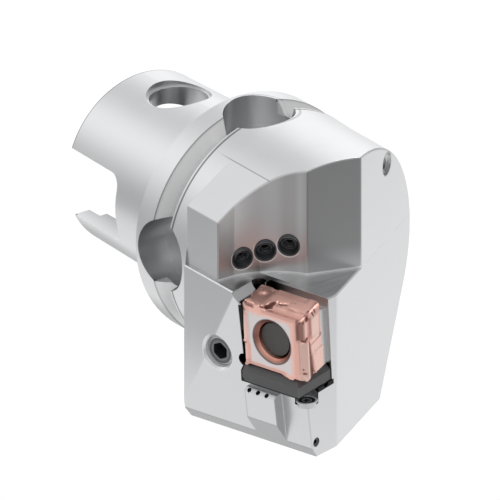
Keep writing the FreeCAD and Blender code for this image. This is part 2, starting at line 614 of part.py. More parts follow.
sump = Vector(size("feed_end_x"), 0, size("sump_z"))
flank_far = across_lead(size("boss_left"), size("plug_n"), size("plug_z")).Base
lead = math.radians(size("lead_angle"))
sweep = math.tan(math.radians(size("end_angle")))
end_at_plug = ((size("end_reach") + size("plug_n") * (math.cos(lead) * sweep - math.sin(lead)))
               / (math.cos(lead) + math.sin(lead) * sweep))
plug_face = min(size("side_reach"), end_at_plug)
flank_near = across_lead(plug_face, size("plug_n"), size("plug_z")).Base
flank_way = (flank_near - flank_far).normalize()
plug_back = flank_near - flank_way * size("plug_length")
tap_end = across_lead(size("tap_h"), size("plug_n"), size("plug_z")).Base
coolant_cutters.append(duct("tap_duct", tap_foot + UP * NUDGE, tap_end, "sizes.flank_duct_radius"))
coolant_cutters.append(duct("sump_duct", feed_end, sump))
coolant_cutters.append(duct("flank_feed", sump, flank_far, "sizes.flank_duct_radius"))
coolant_cutters.append(duct("flank_duct", flank_far, plug_back, "sizes.flank_duct_radius"))
coolant_cutters.append(rod("plug_bore", "sizes.plug_radius", "sizes.plug_length * 2",
                           aim(plug_back, flank_way)))
for number in range(3):
    jet_h = (size("boss_left") + size("boss_width") / 2 + size("jet_shift")
             + (number - 1) * size("jet_pitch"))
    jet_out = across_lead(jet_h, boss_front - size("boss_bevel") / 2,
                          size("boss_top_z") - size("boss_bevel") / 2).Base
    jet_root = across_lead(jet_h, size("plug_n"), size("plug_z")).Base
    coolant_cutters.append(duct(f"flank_jet_{number}", jet_root,
                                jet_out + (jet_out - jet_root).normalize() * NUDGE,
                                "sizes.jet_radius"))

# The holder: the blank is faceted, the boss is added, and the fine cuts follow.
faceted = cut("faceted_head", blank, fuse("facet_cutters", [end_cutter, gullet, ledge, left, side, front]))
doc.recompute()


def is_convex(edge, solid):
    """Whether two faces of a solid meet at an outer edge, tested just beside its middle."""
    middle = edge.valueAt((edge.FirstParameter + edge.LastParameter) / 2)
    normals = []
    for face in solid.ancestorsOfType(edge, Part.Face):
        u, v = face.Surface.parameter(middle)
        normals.append(face.normalAt(u, v))
    if len(normals) != 2 or normals[0].getAngle(normals[1]) < math.radians(SMOOTH):
        return False
    aside = (normals[0] - normals[1]) * BESIDE
    return not any(solid.isInside(point, SAME * BESIDE, False)
                   for point in (middle + aside, middle - aside))


# Every outer edge of the milled head is broken by a small chamfer.
broken = doc.addObject("Part::Chamfer", "broken_edges")
broken.Base = faceted
broken.Edges = [(number, size("edge_break"), size("edge_break"))
                for number, edge in enumerate(faceted.Shape.Edges, start=1)
                if edge.BoundBox.XMax > size("head_rear_x") + CLEAR
                and is_convex(edge, faceted.Shape)]
with_boss = fuse("head_with_boss", [broken, boss])
finished_shank = cut("finished_shank", cut("toed_head", with_boss, toe),
                     fuse("shank_cutters", shank_cutters))
seated = cut("seated_head", finished_shank, fuse("pocket_cutters", pocket))
clamped = cut("clamp_ways", seated, fuse("clamp_cutters", clamp_cutters + plug_cutters))
holder_body = cut("holder_body", clamped, fuse("coolant_cutters", coolant_cutters))
doc.recompute()

# The insert: a block, skewed in plan, with a lipped hole and a chip groove at each edge.
front_left = "sizes.insert_off - sizes.insert_width / 2"
front_right = "sizes.insert_off + sizes.insert_width / 2"
insert_block = doc.addObject("Part::Wedge", "insert_block")
bind(insert_block, {
    "Xmin": front_left,
    "Xmax": front_right,
    "X2min": front_left + " - sizes.insert_skew",
    "X2max": front_right + " - sizes.insert_skew",
    "Ymin": "-sizes.insert_thick",
    "Ymax": "0",
    "Zmin": "-sizes.insert_height / 2",
    "Zmax": "sizes.insert_height / 2",
    "Z2min": "-sizes.insert_height / 2",
    "Z2max": "sizes.insert_height / 2 + sizes.insert_rise",
})
insert_block.Placement = SEAT
doc.recompute()
rounded = doc.addObject("Part::Fillet", "insert_rounded")
rounded.Base = insert_block
seat_inverse = SEAT.inverse()


def runs_through(edge):
    """Whether an edge of the insert runs from its front face to its rear face."""
    first, last = [seat_inverse * vertex.Point for vertex in edge.Vertexes]
    return abs(first.y - last.y) > size("insert_thick") / 2


rounded.Edges = [(number, size("insert_corner"), size("insert_corner"))
                 for number, edge in enumerate(insert_block.Shape.Edges, start=1)
                 if runs_through(edge)]
groove_out = half_height + size("chip_radius") - size("chip_depth")
side_out = insert_right + size("chip_radius") - size("chip_depth")
groove_y = -size("insert_thick") + size("chip_inset")
insert_cutters = [
    rod("insert_hole", "sizes.insert_hole", f"sizes.insert_thick + {2 * CLEAR}",
        seat(0, -size("insert_thick") - CLEAR, 0, Vector(0, 1, 0))),
    cone("lip_front", f"sizes.insert_hole + sizes.insert_lip + {NUDGE}", "sizes.insert_hole",
         f"sizes.insert_lip + {NUDGE}",
         seat(0, -size("insert_thick") - NUDGE, 0, Vector(0, 1, 0))),
    cone("lip_rear", f"sizes.insert_hole + sizes.insert_lip + {NUDGE}", "sizes.insert_hole",
         f"sizes.insert_lip + {NUDGE}", seat(0, NUDGE, 0, Vector(0, -1, 0))),
]
GROOVES = [
    ("top_groove", "sizes.chip_radius", f"{insert_right} - sizes.chip_start + {NUDGE}",
     aim(Vector(size("chip_start"), groove_y, groove_out), Vector(1, 0, 0))),
    ("side_groove", "sizes.chip_radius", f"{half_height} - sizes.side_chip_start + {NUDGE}",
     aim(Vector(side_out, groove_y, size("side_chip_start")), Vector(0, 0, 1))),
    ("top_dimple", "sizes.dimple_radius", f"sizes.dimple_length + {NUDGE}",
     aim(Vector(insert_left - NUDGE, -size("insert_thick"), half_height), Vector(1, 0, 0))),
    ("side_dimple", "sizes.dimple_radius", "sizes.dimple_length",
     aim(Vector(insert_right, -size("insert_thick"), size("side_dimple_z")), Vector(0, 0, 1))),
]
insert_middle = Vector(size("insert_off") - size("insert_skew") / 2, -size("insert_thick") / 2, 0)
skew_way = Vector(size("insert_skew"), 0, 0)
TURNS = [
    (Rotation(), Vector()),
    (Rotation(Vector(1, 0, 0), 180), skew_way * -1),
    (Rotation(Vector(0, 1, 0), 180), skew_way),
    (Rotation(Vector(0, 0, 1), 180), Vector()),
]
for number, (turn, shift) in enumerate(TURNS):
    about = (SEAT * Placement(insert_middle + shift, turn)
             * Placement(insert_middle * -1, Rotation()))
    for name, radius, length, place in GROOVES:
        insert_cutters.append(rod(f"{name}_{number}", radius, length, about * place))
cutting_insert = cut("cutting_insert", rounded, fuse("insert_cutters", insert_cutters))

# The shim lies on the pocket's floor, cut off at its far corner and bevelled at the rim.
shim_plate = new_body("shim_plate")
plate = pad(shim_plate, "shim_outline", "XY_Plane", [
    ("-sizes.shim_left", "-sizes.shim_front"),
    ("sizes.shim_right", "-sizes.shim_front"),
    ("sizes.shim_right", "sizes.shim_heel"),
    ("sizes.foot_relief + sizes.seat_gap", "sizes.shim_heel"),
    ("sizes.foot_relief + sizes.seat_gap", "0"),
    ("-sizes.shim_left + sizes.corner_relief", "0"),
    ("-sizes.shim_left", "-sizes.corner_relief"),
], "sizes.shim_thick", "-sizes.insert_height / 2 - sizes.shim_thick")
doc.recompute()
bevel = shim_plate.newObject("PartDesign::Chamfer", "shim_edge")
top_z = -half_height


def on_shim_rim(edge):
    """Whether an edge is the top one along the shim's front or its free side."""
    ends = [vertex.Point for vertex in edge.Vertexes]
    if any(abs(point.z - top_z) > SAME for point in ends):
        return False
    at_front = all(abs(point.y + size("shim_front")) < SAME for point in ends)
    at_side = all(abs(point.x - size("shim_right")) < SAME for point in ends)
    return at_front or at_side


bevel.Base = (plate, [f"Edge{number}" for number, edge in enumerate(plate.Shape.Edges, start=1)
                      if on_shim_rim(edge)])
bevel.setExpression("Size", "sizes.shim_bevel")
shim_plate.Placement = SEAT

shim_hole = fuse("shim_hole", [
    rod("shim_clear", "sizes.shim_screw_radius + sizes.fit_gap", "sizes.insert_height",
        seat(size("shim_screw_x"), size("shim_screw_y"), floor_z - CLEAR)),
    cone("shim_sink", "sizes.shim_screw_radius + sizes.fit_gap",
         "sizes.shim_screw_head + sizes.fit_gap",
         "sizes.shim_screw_head - sizes.shim_screw_radius",
         seat(size("shim_screw_x"), size("shim_screw_y"),
              shim_screw_top - size("shim_screw_head") + size("shim_screw_radius"))),
    rod("shim_sink_top", "sizes.shim_screw_head + sizes.fit_gap", "sizes.insert_height",
        seat(size("shim_screw_x"), size("shim_screw_y"), shim_screw_top))])
shim = cut("shim", shim_plate, shim_hole)


def star(name, depth, place):
    """A six-pointed socket: two hexagonal prisms, one turned by half a flat."""
    return fuse(name, [
        hexagon(f"{name}_{turn}", "sizes.star_socket", f"{depth} + {NUDGE}",
                place * Placement(Vector(0, 0, 0), Rotation(Vector(0, 0, 1), 30 * turn)))
        for turn in range(2)])


# The shim's screw has a sunk head under the insert.
shim_screw = cut("shim_screw",
                 fuse("shim_screw_solid", [
                     rod("shim_screw_stem", "sizes.shim_screw_radius", "sizes.shim_screw_length",
                         seat(size("shim_screw_x"), size("shim_screw_y"),
                              shim_screw_top - size("shim_screw_length"))),
                     cone("shim_screw_cone", "sizes.shim_screw_radius", "sizes.shim_screw_head",
                          "sizes.shim_screw_head - sizes.shim_screw_radius",
                          seat(size("shim_screw_x"), size("shim_screw_y"),
                               shim_screw_top - size("shim_screw_head")
                               + size("shim_screw_radius")))]),
                 star("shim_star", "sizes.star_depth",
                      seat(size("shim_screw_x"), size("shim_screw_y"),
                           shim_screw_top - size("star_depth"))))

# The screw that closes the upright duct stands in a notch at the corner of the two facets.
corner_screw = cut("corner_screw",
                   fuse("corner_screw_solid", [
                       rod("corner_screw_head", "sizes.tap_head", "sizes.tap_head_thick",
                           aim(tap_seat, UP)),
                       rod("corner_screw_stem", "sizes.tap_radius", "sizes.tap_length",
                           aim(tap_foot, UP))]),
                   star("corner_star", "sizes.star_depth",
                        aim(tap_top - Vector(0, 0, size("star_depth")), UP)))

# The clamp screw: thread, neck and collar, with a hexagon socket at its outer end.
thread_end = arm_out - size("seat_gap")
clamp_screw = cut("clamp_screw",
                  fuse("screw_solid", [
                      cone("screw_end", "sizes.screw_radius - sizes.screw_edge",
                           "sizes.screw_radius", "sizes.screw_edge",
                           lever_at(LEVER_REACH, screw_start, 0)),
                      rod("screw_thread", "sizes.screw_radius",
                          f"{thread_end - screw_start} - sizes.screw_edge",
                          lever_at(LEVER_REACH, screw_start + size("screw_edge"), 0)),
                      rod("screw_neck", "sizes.screw_neck", f"{collar_end - thread_end}",
                          lever_at(LEVER_REACH, thread_end, 0)),
                      rod("screw_collar", "sizes.screw_collar", "sizes.collar_thick",
                          lever_at(LEVER_REACH, collar_end - size("collar_thick"), 0))]),
                  hexagon("screw_socket", "sizes.screw_hex", "sizes.screw_hex_depth",
                          lever_at(LEVER_REACH, screw_start, 0)))

# The lever: a nose in the insert's hole, a knee, and a forked arm round the screw's neck.
fork = "sizes.screw_neck + sizes.seat_gap"
nose_out = -size("insert_thick") + size("nose_recess")
clamp_lever = cut("clamp_lever",
                  fuse("lever_solid", [
                      rod("lever_nose", "sizes.nose_radius", "sizes.nose_length",
                          lever_at(NOSE_SHIFT, nose_out, 0)),
                      rod("lever_stem", "sizes.lever_neck", f"sizes.knee_depth - {nose_out}",
                          lever_at(NOSE_SHIFT, nose_out, 0)),
                      rod("lever_knee", "sizes.knee_radius", "sizes.lever_width",
                          lever_at(NOSE_SHIFT, size("knee_depth"), -size("lever_width") / 2,
                                   Vector(0, 0, 1))),
                      box("lever_arm", f"{LEVER_REACH - NOSE_SHIFT} + sizes.arm_end",
                          "sizes.arm_thick", "sizes.lever_width",
                          LEVER * Placement(Vector(NOSE_SHIFT, arm_out,
                                                   -size("lever_width") / 2), Rotation()))]),
                  fuse("lever_fork", [
                      rod("fork_round", fork, "sizes.arm_thick * 2",
                          lever_at(LEVER_REACH, arm_out - NUDGE, 0)),
                      box("fork_mouth", "sizes.arm_end * 2", "sizes.arm_thick * 2",
                          f"2 * ({fork})",
                          LEVER * Placement(Vector(LEVER_REACH, arm_out - NUDGE,
                                                   -size("screw_neck") - size("seat_gap")),
                                            Rotation()))]))

# The rake nozzles: cups with a socket and a jet, cut off flush with the round wall.
nozzles = []
for nozzle_name, wall_point, way in NOZZLES:
    back = wall_point - way * size("nozzle_length")
    depth = size("nozzle_length")
    shell = rod(f"nozzle_{nozzle_name}_shell", "sizes.nozzle_radius", f"{depth} + {CLEAR}",
                aim(back, way))
    hollow = fuse(f"nozzle_{nozzle_name}_hollow", [
        gullet,
        rod(f"nozzle_{nozzle_name}_cup", "sizes.nozzle_cup", f"sizes.nozzle_cup_depth + {CLEAR}",
            aim(back + way * (depth - size("nozzle_cup_depth")), way)),
        rod(f"nozzle_{nozzle_name}_step", "sizes.nozzle_step",
            f"sizes.nozzle_step_depth + {CLEAR}",
            aim(back + way * (depth - size("nozzle_step_depth")), way)),
        rod(f"nozzle_{nozzle_name}_jet", "sizes.nozzle_jet", f"{BEYOND}",
            aim(back - way * NUDGE, way)),
    ])
    nozzles.append(cut(f"rake_nozzle_{nozzle_name}", shell, hollow))

# Socket plugs close the ends of the drilled ducts.
port_plug = cut("port_plug",
                rod("port_plug_rod", "sizes.port_radius", "sizes.port_length",
                    aim(port_back, end_out)),
                hexagon("port_plug_socket", "sizes.port_radius", "sizes.port_length",
                        aim(port_back + end_out * size("port_length") / 2, end_out)))
flank_plug = cut("flank_plug",
                 rod("flank_plug_rod", "sizes.plug_radius",
                     "sizes.plug_length - sizes.plug_recess",
                     aim(plug_back, flank_way)),
                 hexagon("flank_plug_socket", "sizes.plug_radius", "sizes.plug_length",
                         aim(plug_back + flank_way * size("plug_length") / 2, flank_way)))

# The seal ring lies in a groove round the central feed.
coolant_seal = doc.addObject("Part::Torus", "coolant_seal")
bind(coolant_seal, {"Radius1": "sizes.seal_radius", "Radius2": "sizes.seal_section"})
coolant_seal.Placement = aim(
    Vector(size("bore_bottom_x") + size("seal_seat") - size("seal_section"), 0, 0),
    Vector(1, 0, 0))

doc.recompute()

SUBPARTS = [holder_body, cutting_insert, shim, shim_screw, clamp_lever, clamp_screw, *nozzles,
            port_plug, flank_plug, corner_screw, coolant_seal]
for item in doc.Objects:
    if "Invalid" in item.State or "Error" in item.State:
        raise RuntimeError(f"{item.Label} could not be computed: {item.State}")

os.makedirs("parts", exist_ok=True)
for item in SUBPARTS:
    if item.Shape.isNull() or not item.Shape.isValid():
        raise RuntimeError(f"{item.Label} has no valid shape")
    item.Shape.exportStep(f"parts/{item.Label}.step")
    extent = item.Shape.BoundBox
    print(f"{item.Label}: {len(item.Shape.Solids)} solid, {item.Shape.Volume:.1f} mm3, "
          f"x {extent.XMin:.1f} {extent.XMax:.1f} y {extent.YMin:.1f} {extent.YMax:.1f} "
          f"z {extent.ZMin:.1f} {extent.ZMax:.1f}")
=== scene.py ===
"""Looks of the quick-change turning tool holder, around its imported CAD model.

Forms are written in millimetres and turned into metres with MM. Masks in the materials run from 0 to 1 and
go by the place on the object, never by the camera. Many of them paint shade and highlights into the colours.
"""

import math

import bmesh
import bpy
from mathutils import Matrix, Vector


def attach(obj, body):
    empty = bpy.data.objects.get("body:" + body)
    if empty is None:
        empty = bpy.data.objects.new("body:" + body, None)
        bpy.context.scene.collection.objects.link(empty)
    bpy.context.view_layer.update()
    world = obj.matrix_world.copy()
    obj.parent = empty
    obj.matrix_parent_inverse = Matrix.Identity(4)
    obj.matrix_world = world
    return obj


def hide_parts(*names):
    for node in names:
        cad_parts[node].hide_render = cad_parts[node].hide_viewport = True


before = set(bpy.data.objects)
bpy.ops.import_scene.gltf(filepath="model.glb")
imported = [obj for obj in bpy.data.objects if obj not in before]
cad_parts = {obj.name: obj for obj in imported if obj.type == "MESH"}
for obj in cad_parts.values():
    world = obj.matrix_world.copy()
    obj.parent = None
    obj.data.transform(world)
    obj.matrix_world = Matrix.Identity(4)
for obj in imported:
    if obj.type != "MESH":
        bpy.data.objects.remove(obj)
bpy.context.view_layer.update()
bpy.context.scene.view_settings.view_transform = "Standard"

MM = 0.001
PHOTO_WIDTH = 500.0
PX_PER_MM = 4.0811


# ---------------------------------------------------------------- camera
TO_CAMERA = Vector((0.7365, -0.5369, 0.4115)).normalized()
RIGHT = Vector((0.5891, 0.8081, 0.0)).normalized()
UP = TO_CAMERA.cross(RIGHT).normalized()
CENTRE_RIGHT = 2.764 * MM
CENTRE_DOWN = 9.436 * MM
CAMERA_DISTANCE = 1.0


def make_camera():
    """A parallel view at the photograph's angle."""
    data = bpy.data.cameras.new("camera")
    data.type = "ORTHO"
    data.ortho_scale = PHOTO_WIDTH / PX_PER_MM * MM
    data.clip_start = 0.01
    data.clip_end = 20.0
    camera = bpy.data.objects.new("camera", data)
    bpy.context.scene.collection.objects.link(camera)
    place = TO_CAMERA * CAMERA_DISTANCE + RIGHT * CENTRE_RIGHT - UP * CENTRE_DOWN
    turn = Matrix((RIGHT, UP, TO_CAMERA)).transposed().to_4x4()
    camera.matrix_world = Matrix.Translation(place) @ turn
    bpy.context.scene.camera = camera


make_camera()


# ---------------------------------------------------------------- nodes
BEVEL_SAMPLES = 6
# From where to where an edge's turn, as 1 less the cosine, counts as bright for the painted edge highlights.
EDGE_RANGE = (0.015, 0.09)
EDGE_ROUND = 0.12 * MM
GRAIN_SCALE = 6000.0
GRAIN_DEPTH = 0.00004
# Tone of the steel's painted highlights.
PAINTED_HIGHLIGHT_TONE = (0.98, 0.98, 0.98)


class Graph:
    """Shorthand for building a material's nodes."""

    def __init__(self, name):
        self.material = bpy.data.materials.new(name)
        self.material.use_nodes = True
        self.tree = self.material.node_tree
        self.shader = self.tree.nodes["Principled BSDF"]
        coord = self.tree.nodes.new("ShaderNodeTexCoord")
        self.object = coord.outputs["Object"]

    def plug(self, value, socket):
        """A link, or a constant set on the socket."""
        if isinstance(value, bpy.types.NodeSocket):
            self.tree.links.new(value, socket)
        else:
            socket.default_value = value

    def math(self, operation, a, b=0.0, c=0.0, clamp=False):
        """One sum on numbers."""
        node = self.tree.nodes.new("ShaderNodeMath")
        node.operation = operation
        node.use_clamp = clamp
        for value, socket in zip((a, b, c), node.inputs):
            self.plug(value, socket)
        return node.outputs[0]

    def split(self, vector):
        """The three parts of a vector."""
        node = self.tree.nodes.new("ShaderNodeSeparateXYZ")
        self.plug(vector, node.inputs[0])
        return node.outputs

    def attribute(self, name):
        """A number stored on the mesh."""
        node = self.tree.nodes.new("ShaderNodeAttribute")
        node.attribute_name = name
        return node.outputs["Fac"]

    def stretch(self, vector, scale):
        """A vector scaled along its axes."""
        node = self.tree.nodes.new("ShaderNodeVectorMath")
        node.operation = "MULTIPLY"
        self.plug(vector, node.inputs[0])
        node.inputs[1].default_value = scale
        return node.outputs[0]

    def combine(self, x, y, z):
        """A vector from three parts."""
        node = self.tree.nodes.new("ShaderNodeCombineXYZ")
        for value, socket in zip((x, y, z), node.inputs):
            self.plug(value, socket)
        return node.outputs[0]

    def dot(self, vector, way):
        """How far a vector runs along a direction."""
        node = self.tree.nodes.new("ShaderNodeVectorMath")
        node.operation = "DOT_PRODUCT"
        self.plug(vector, node.inputs[0])
        node.inputs[1].default_value = way
        return node.outputs["Value"]

    def noise(self, vector, scale, detail=3.0, roughness=0.5):
        """Cloudy noise from 0 to 1."""
        node = self.tree.nodes.new("ShaderNodeTexNoise")
        self.plug(vector, node.inputs["Vector"])
        node.inputs["Scale"].default_value = scale
        node.inputs["Detail"].default_value = detail
        node.inputs["Roughness"].default_value = roughness
        return node.outputs["Fac"]

    def step(self, value, low, high):
        """A soft step from 0 at low to 1 at high."""
        node = self.tree.nodes.new("ShaderNodeMapRange")
        node.interpolation_type = "SMOOTHSTEP"
        self.plug(value, node.inputs["Value"])
        node.inputs["From Min"].default_value = low
        node.inputs["From Max"].default_value = high
        return node.outputs["Result"]

    def spread(self, value, low, high):
        """A value from 0 to 1 laid over a range."""
        return self.math("MULTIPLY_ADD", value, high - low, low)

    def mix(self, share, first, second):
        """A blend of two colours."""
        node = self.tree.nodes.new("ShaderNodeMix")
        node.data_type = "RGBA"
        self.plug(share, node.inputs["Factor"])
        for color, socket in ((first, node.inputs[6]), (second, node.inputs[7])):
            self.plug(color if isinstance(color, bpy.types.NodeSocket) else (*color, 1.0), socket)
        return node.outputs[2]

    def line(self, value, centre, half):
        """1 within half a width of a centre, with soft sides."""
        away = self.math("ABSOLUTE", self.math("SUBTRACT", value, centre))
        return self.flip(self.step(away, half * 0.6, half * 1.4))

    def flip(self, mask):
        """1 where a mask is 0, and 0 where it is 1."""
        return self.math("SUBTRACT", 1.0, mask)

    def times(self, first, *others):
        """A product of masks."""
        for other in others:
            first = self.math("MULTIPLY", first, other)
        return first

    def most(self, first, *others):
        """The greatest of several masks."""
        for other in others:
            first = self.math("MAXIMUM", first, other)
        return first

    def rounded(self, radius):
        """The normal over edges that are rounded a little."""
        bevel = self.tree.nodes.new("ShaderNodeBevel")
        bevel.samples = BEVEL_SAMPLES
        bevel.inputs["Radius"].default_value = radius
        return bevel.outputs["Normal"]

    def edges(self, radius):
        """1 along the edges, where light catches them."""
        shape = self.tree.nodes.new("ShaderNodeNewGeometry")
        node = self.tree.nodes.new("ShaderNodeVectorMath")
        node.operation = "DOT_PRODUCT"
        self.tree.links.new(self.rounded(radius), node.inputs[0])
        self.tree.links.new(shape.outputs["Normal"], node.inputs[1])
        return self.step(self.flip(node.outputs["Value"]), *EDGE_RANGE)

    def bump(self, height, strength, distance, edge=0.0):
        """Fine relief on the shader's normal, over edges that are rounded a little."""
        node = self.tree.nodes.new("ShaderNodeBump")
        node.inputs["Strength"].default_value = strength
        node.inputs["Distance"].default_value = distance
        self.plug(height, node.inputs["Height"])
        if edge > 0.0:
            self.tree.links.new(self.rounded(edge), node.inputs["Normal"])
        self.tree.links.new(node.outputs["Normal"], self.shader.inputs["Normal"])

    def finish(self, color, metallic, roughness):
        """Plug the main values in."""
        self.plug(color if isinstance(color, bpy.types.NodeSocket) else (*color, 1.0),
                  self.shader.inputs["Base Color"])
        self.plug(metallic, self.shader.inputs["Metallic"])
        self.plug(roughness, self.shader.inputs["Roughness"])
        return self.material


# ---------------------------------------------------------------- light
def direction(azimuth, elevation):
    """Unit vector from two angles in degrees."""
    a, e = math.radians(azimuth), math.radians(elevation)
    return (math.cos(a) * math.cos(e), math.sin(a) * math.cos(e), math.sin(e))


# Soft glows of the studio's walls: azimuth, elevation, strength, narrowness.
GLOWS = [
    (-150, 30, 0.85, 10.0),
    (138, 14, 0.85, 8.0),
    (-40, 45, 0.35, 5.0),
]
WORLD_BASE = 0.44
LAMP_SIZE = 0.3
LAMP_ENERGY = 0.8
LAMP_SPREAD = math.radians(120.0)
LAMP_PLACE = (-0.12, 0.25, 0.5)


def make_world():
    """An even room with soft glows on its walls, white where the camera looks past the floor."""
    world = bpy.data.worlds.new("studio")
    bpy.context.scene.world = world
    world.use_nodes = True
    tree = world.node_tree
    nodes, links = tree.nodes, tree.links
    nodes.clear()
    coord = nodes.new("ShaderNodeTexCoord")
    total = None
    for azimuth, elevation, strength, narrowness in GLOWS:
        dot = nodes.new("ShaderNodeVectorMath")
        dot.operation = "DOT_PRODUCT"
        dot.inputs[1].default_value = direction(azimuth, elevation)
        links.new(coord.outputs["Generated"], dot.inputs[0])
        scale = nodes.new("ShaderNodeMath")
        scale.operation = "MULTIPLY_ADD"
        scale.inputs[1].default_value = narrowness
        scale.inputs[2].default_value = -narrowness
        links.new(dot.outputs["Value"], scale.inputs[0])
        power = nodes.new("ShaderNodeMath")
        power.operation = "EXPONENT"
        links.new(scale.outputs[0], power.inputs[0])
        add = nodes.new("ShaderNodeMath")
        add.operation = "MULTIPLY_ADD"
        add.inputs[1].default_value = strength
        add.inputs[2].default_value = WORLD_BASE
        links.new(power.outputs[0], add.inputs[0])
        if total is not None:
            links.new(total, add.inputs[2])
        total = add.outputs[0]
    ray = nodes.new("ShaderNodeLightPath")
    seen = nodes.new("ShaderNodeMath")
    seen.operation = "MAXIMUM"
    links.new(ray.outputs["Is Camera Ray"], seen.inputs[0])
    links.new(total, seen.inputs[1])
    background = nodes.new("ShaderNodeBackground")
    background.inputs["Color"].default_value = (1.0, 1.0, 1.0, 1.0)
    links.new(seen.outputs[0], background.inputs["Strength"])
    output = nodes.new("ShaderNodeOutputWorld")
    links.new(background.outputs[0], output.inputs["Surface"])


make_world()


def make_softbox():
    """One large soft lamp above the floor behind the holder."""
    data = bpy.data.lights.new("softbox", "AREA")
    data.shape = "DISK"
    data.size = LAMP_SIZE
    data.energy = LAMP_ENERGY
    data.spread = LAMP_SPREAD
    lamp = bpy.data.objects.new("softbox", data)
    lamp.location = LAMP_PLACE
    bpy.context.scene.collection.objects.link(lamp)


make_softbox()


# ---------------------------------------------------------------- floor
FLOOR_Z = -0.11
FLOOR_SIZE = 4.0
FLOOR_TONE = (0.95, 0.95, 0.95)
# Tone of the shade painted on the floor far out, which the camera never sees directly.
PAINTED_FALLOFF_TONE = (0.42, 0.42, 0.425)
FLOOR_GLOW = 1.14
GLOW_SHARE = 0.6
SIDEWAYS = (0.7071, 0.7071, 0.0)
FORWARD = (0.7071, -0.7071, 0.0)


def make_floor_material():
    """Matt white, with shade painted far out to the sides and the front, which only reflections and bounced
    light see.
    """
    g = Graph("floor")
    across = g.math("ABSOLUTE", g.dot(g.object, SIDEWAYS))
    far = g.most(g.times(g.step(across, 0.21, 0.36), 0.75), g.step(g.dot(g.object, FORWARD), 0.12, 0.26))
    ray = g.tree.nodes.new("ShaderNodeLightPath")
    # Painted shade: far out, every ray but the camera's sees the floor darker.
    tone = g.mix(g.times(far, g.flip(ray.outputs["Is Camera Ray"])), FLOOR_TONE, PAINTED_FALLOFF_TONE)
    g.shader.inputs["Roughness"].default_value = 0.9
    g.plug(tone, g.shader.inputs["Base Color"])
    glow = g.tree.nodes.new("ShaderNodeEmission")
    g.plug(tone, glow.inputs["Color"])
    glow.inputs["Strength"].default_value = FLOOR_GLOW
    seen = g.most(*(ray.outputs[kind] for kind in ("Is Camera Ray", "Is Glossy Ray", "Is Transmission Ray")))
    blend = g.tree.nodes.new("ShaderNodeMixShader")
    g.plug(g.times(seen, GLOW_SHARE), blend.inputs[0])
    g.tree.links.new(g.shader.outputs[0], blend.inputs[1])
    g.tree.links.new(glow.outputs[0], blend.inputs[2])
    g.tree.links.new(blend.outputs[0], g.tree.nodes["Material Output"].inputs["Surface"])
    return g.material


def make_floor():
    """A plain pale floor well under the holder."""
    mesh = bpy.data.meshes.new("floor")
    half = FLOOR_SIZE / 2
    mesh.from_pydata([(-half, -half, FLOOR_Z), (half, -half, FLOOR_Z),
                      (half, half, FLOOR_Z), (-half, half, FLOOR_Z)], [], [(0, 1, 2, 3)])
    floor = bpy.data.objects.new("floor", mesh)
    bpy.context.scene.collection.objects.link(floor)
    mesh.materials.append(make_floor_material())


make_floor()


# ---------------------------------------------------------------- frames
LEAD_ANGLE = math.radians(15.0)
SEAT_TILT = math.radians(4.0)
FRONT_TILT = math.radians(8.42)
FRONT_REACH = 40.9
SIDE_REACH = 51.8
# The seat of the insert: x along the lead, y inwards from its front face, z up.
SEAT = (Matrix.Rotation(LEAD_ANGLE, 4, "Z")
        @ Matrix.Translation(Vector((43.4, -31.07, -7.8)) * MM)
        @ Matrix.Rotation(SEAT_TILT, 4, "X"))


def smooth(low, high, value):
    """0 below low, 1 above high, a soft step between."""
    t = min(max((value - low) / (high - low), 0.0), 1.0)
    return t * t * (3.0 - 2.0 * t)


# ---------------------------------------------------------------- insert
# Block of the insert in the seat; its rear leans to the left by the skew and is higher by the rise.
INSERT_X = (-9.65, 10.55)
INSERT_Z = (-8.8, 8.8)
INSERT_THICK = 9.75
INSERT_SKEW = 1.8
INSERT_RISE = 0.3
INSERT_CORNER = 1.6
HOLE_RADIUS = 4.9
HOLE_LIP = 1.0
# Side of the squares of the insert's mesh, and points round a turned piece.
STEP = 0.2
LATHE_POINTS = 96
WIDTH = INSERT_X[1] - INSERT_X[0]
HEIGHT = INSERT_Z[1] - INSERT_Z[0]


def top_form(s, q):
    """How far the top lies below its block: s from the left, q from the front."""
    low = smooth(5.6, 8.6, s) * (1.0 - smooth(18.4, 19.8, s))
    edge = 0.8 * low * (1.0 - smooth(2.3, 3.5 + 0.25 * math.sin(s * 1.3), q))
    edge += 0.35 * low * math.exp(-((q - 1.7) / 0.7) ** 2)
    wedge = 0.55 * math.exp(-((q - 0.4 - (s - 6.2) * 1.25) / 0.55) ** 2) * smooth(5.8, 6.6, s)
    wedge *= 1.0 - smooth(8.6, 9.4, s)
    pit = 0.5 * math.exp(-((q - 4.0 - (s - 11.0) * 0.4) / 0.45) ** 2) * smooth(9.5, 10.1, s)
    pit *= 1.0 - smooth(12.0, 12.6, s)
    flat = 0.35 * (1.0 - smooth(5.6, 6.6, s)) * smooth(1.9 - 0.2 * s, 2.5 - 0.2 * s, q)
    pad = 0.35 * math.exp(-(((s - 2.6) / 1.5) ** 2 + ((q - 6.9) / 1.3) ** 2) ** 2)
    rear = 0.25 * smooth(7.3, 7.9, q) * smooth(4.0, 5.0, s) * (1.0 - smooth(15.5, 16.5, s))
    dimple = 0.7 * math.exp(-((q - 0.2) / 0.55) ** 2) * (1.0 - smooth(3.9, 4.6, s)) * smooth(0.4, 1.2, s)
    return edge + wedge + pit + flat - pad + rear + dimple


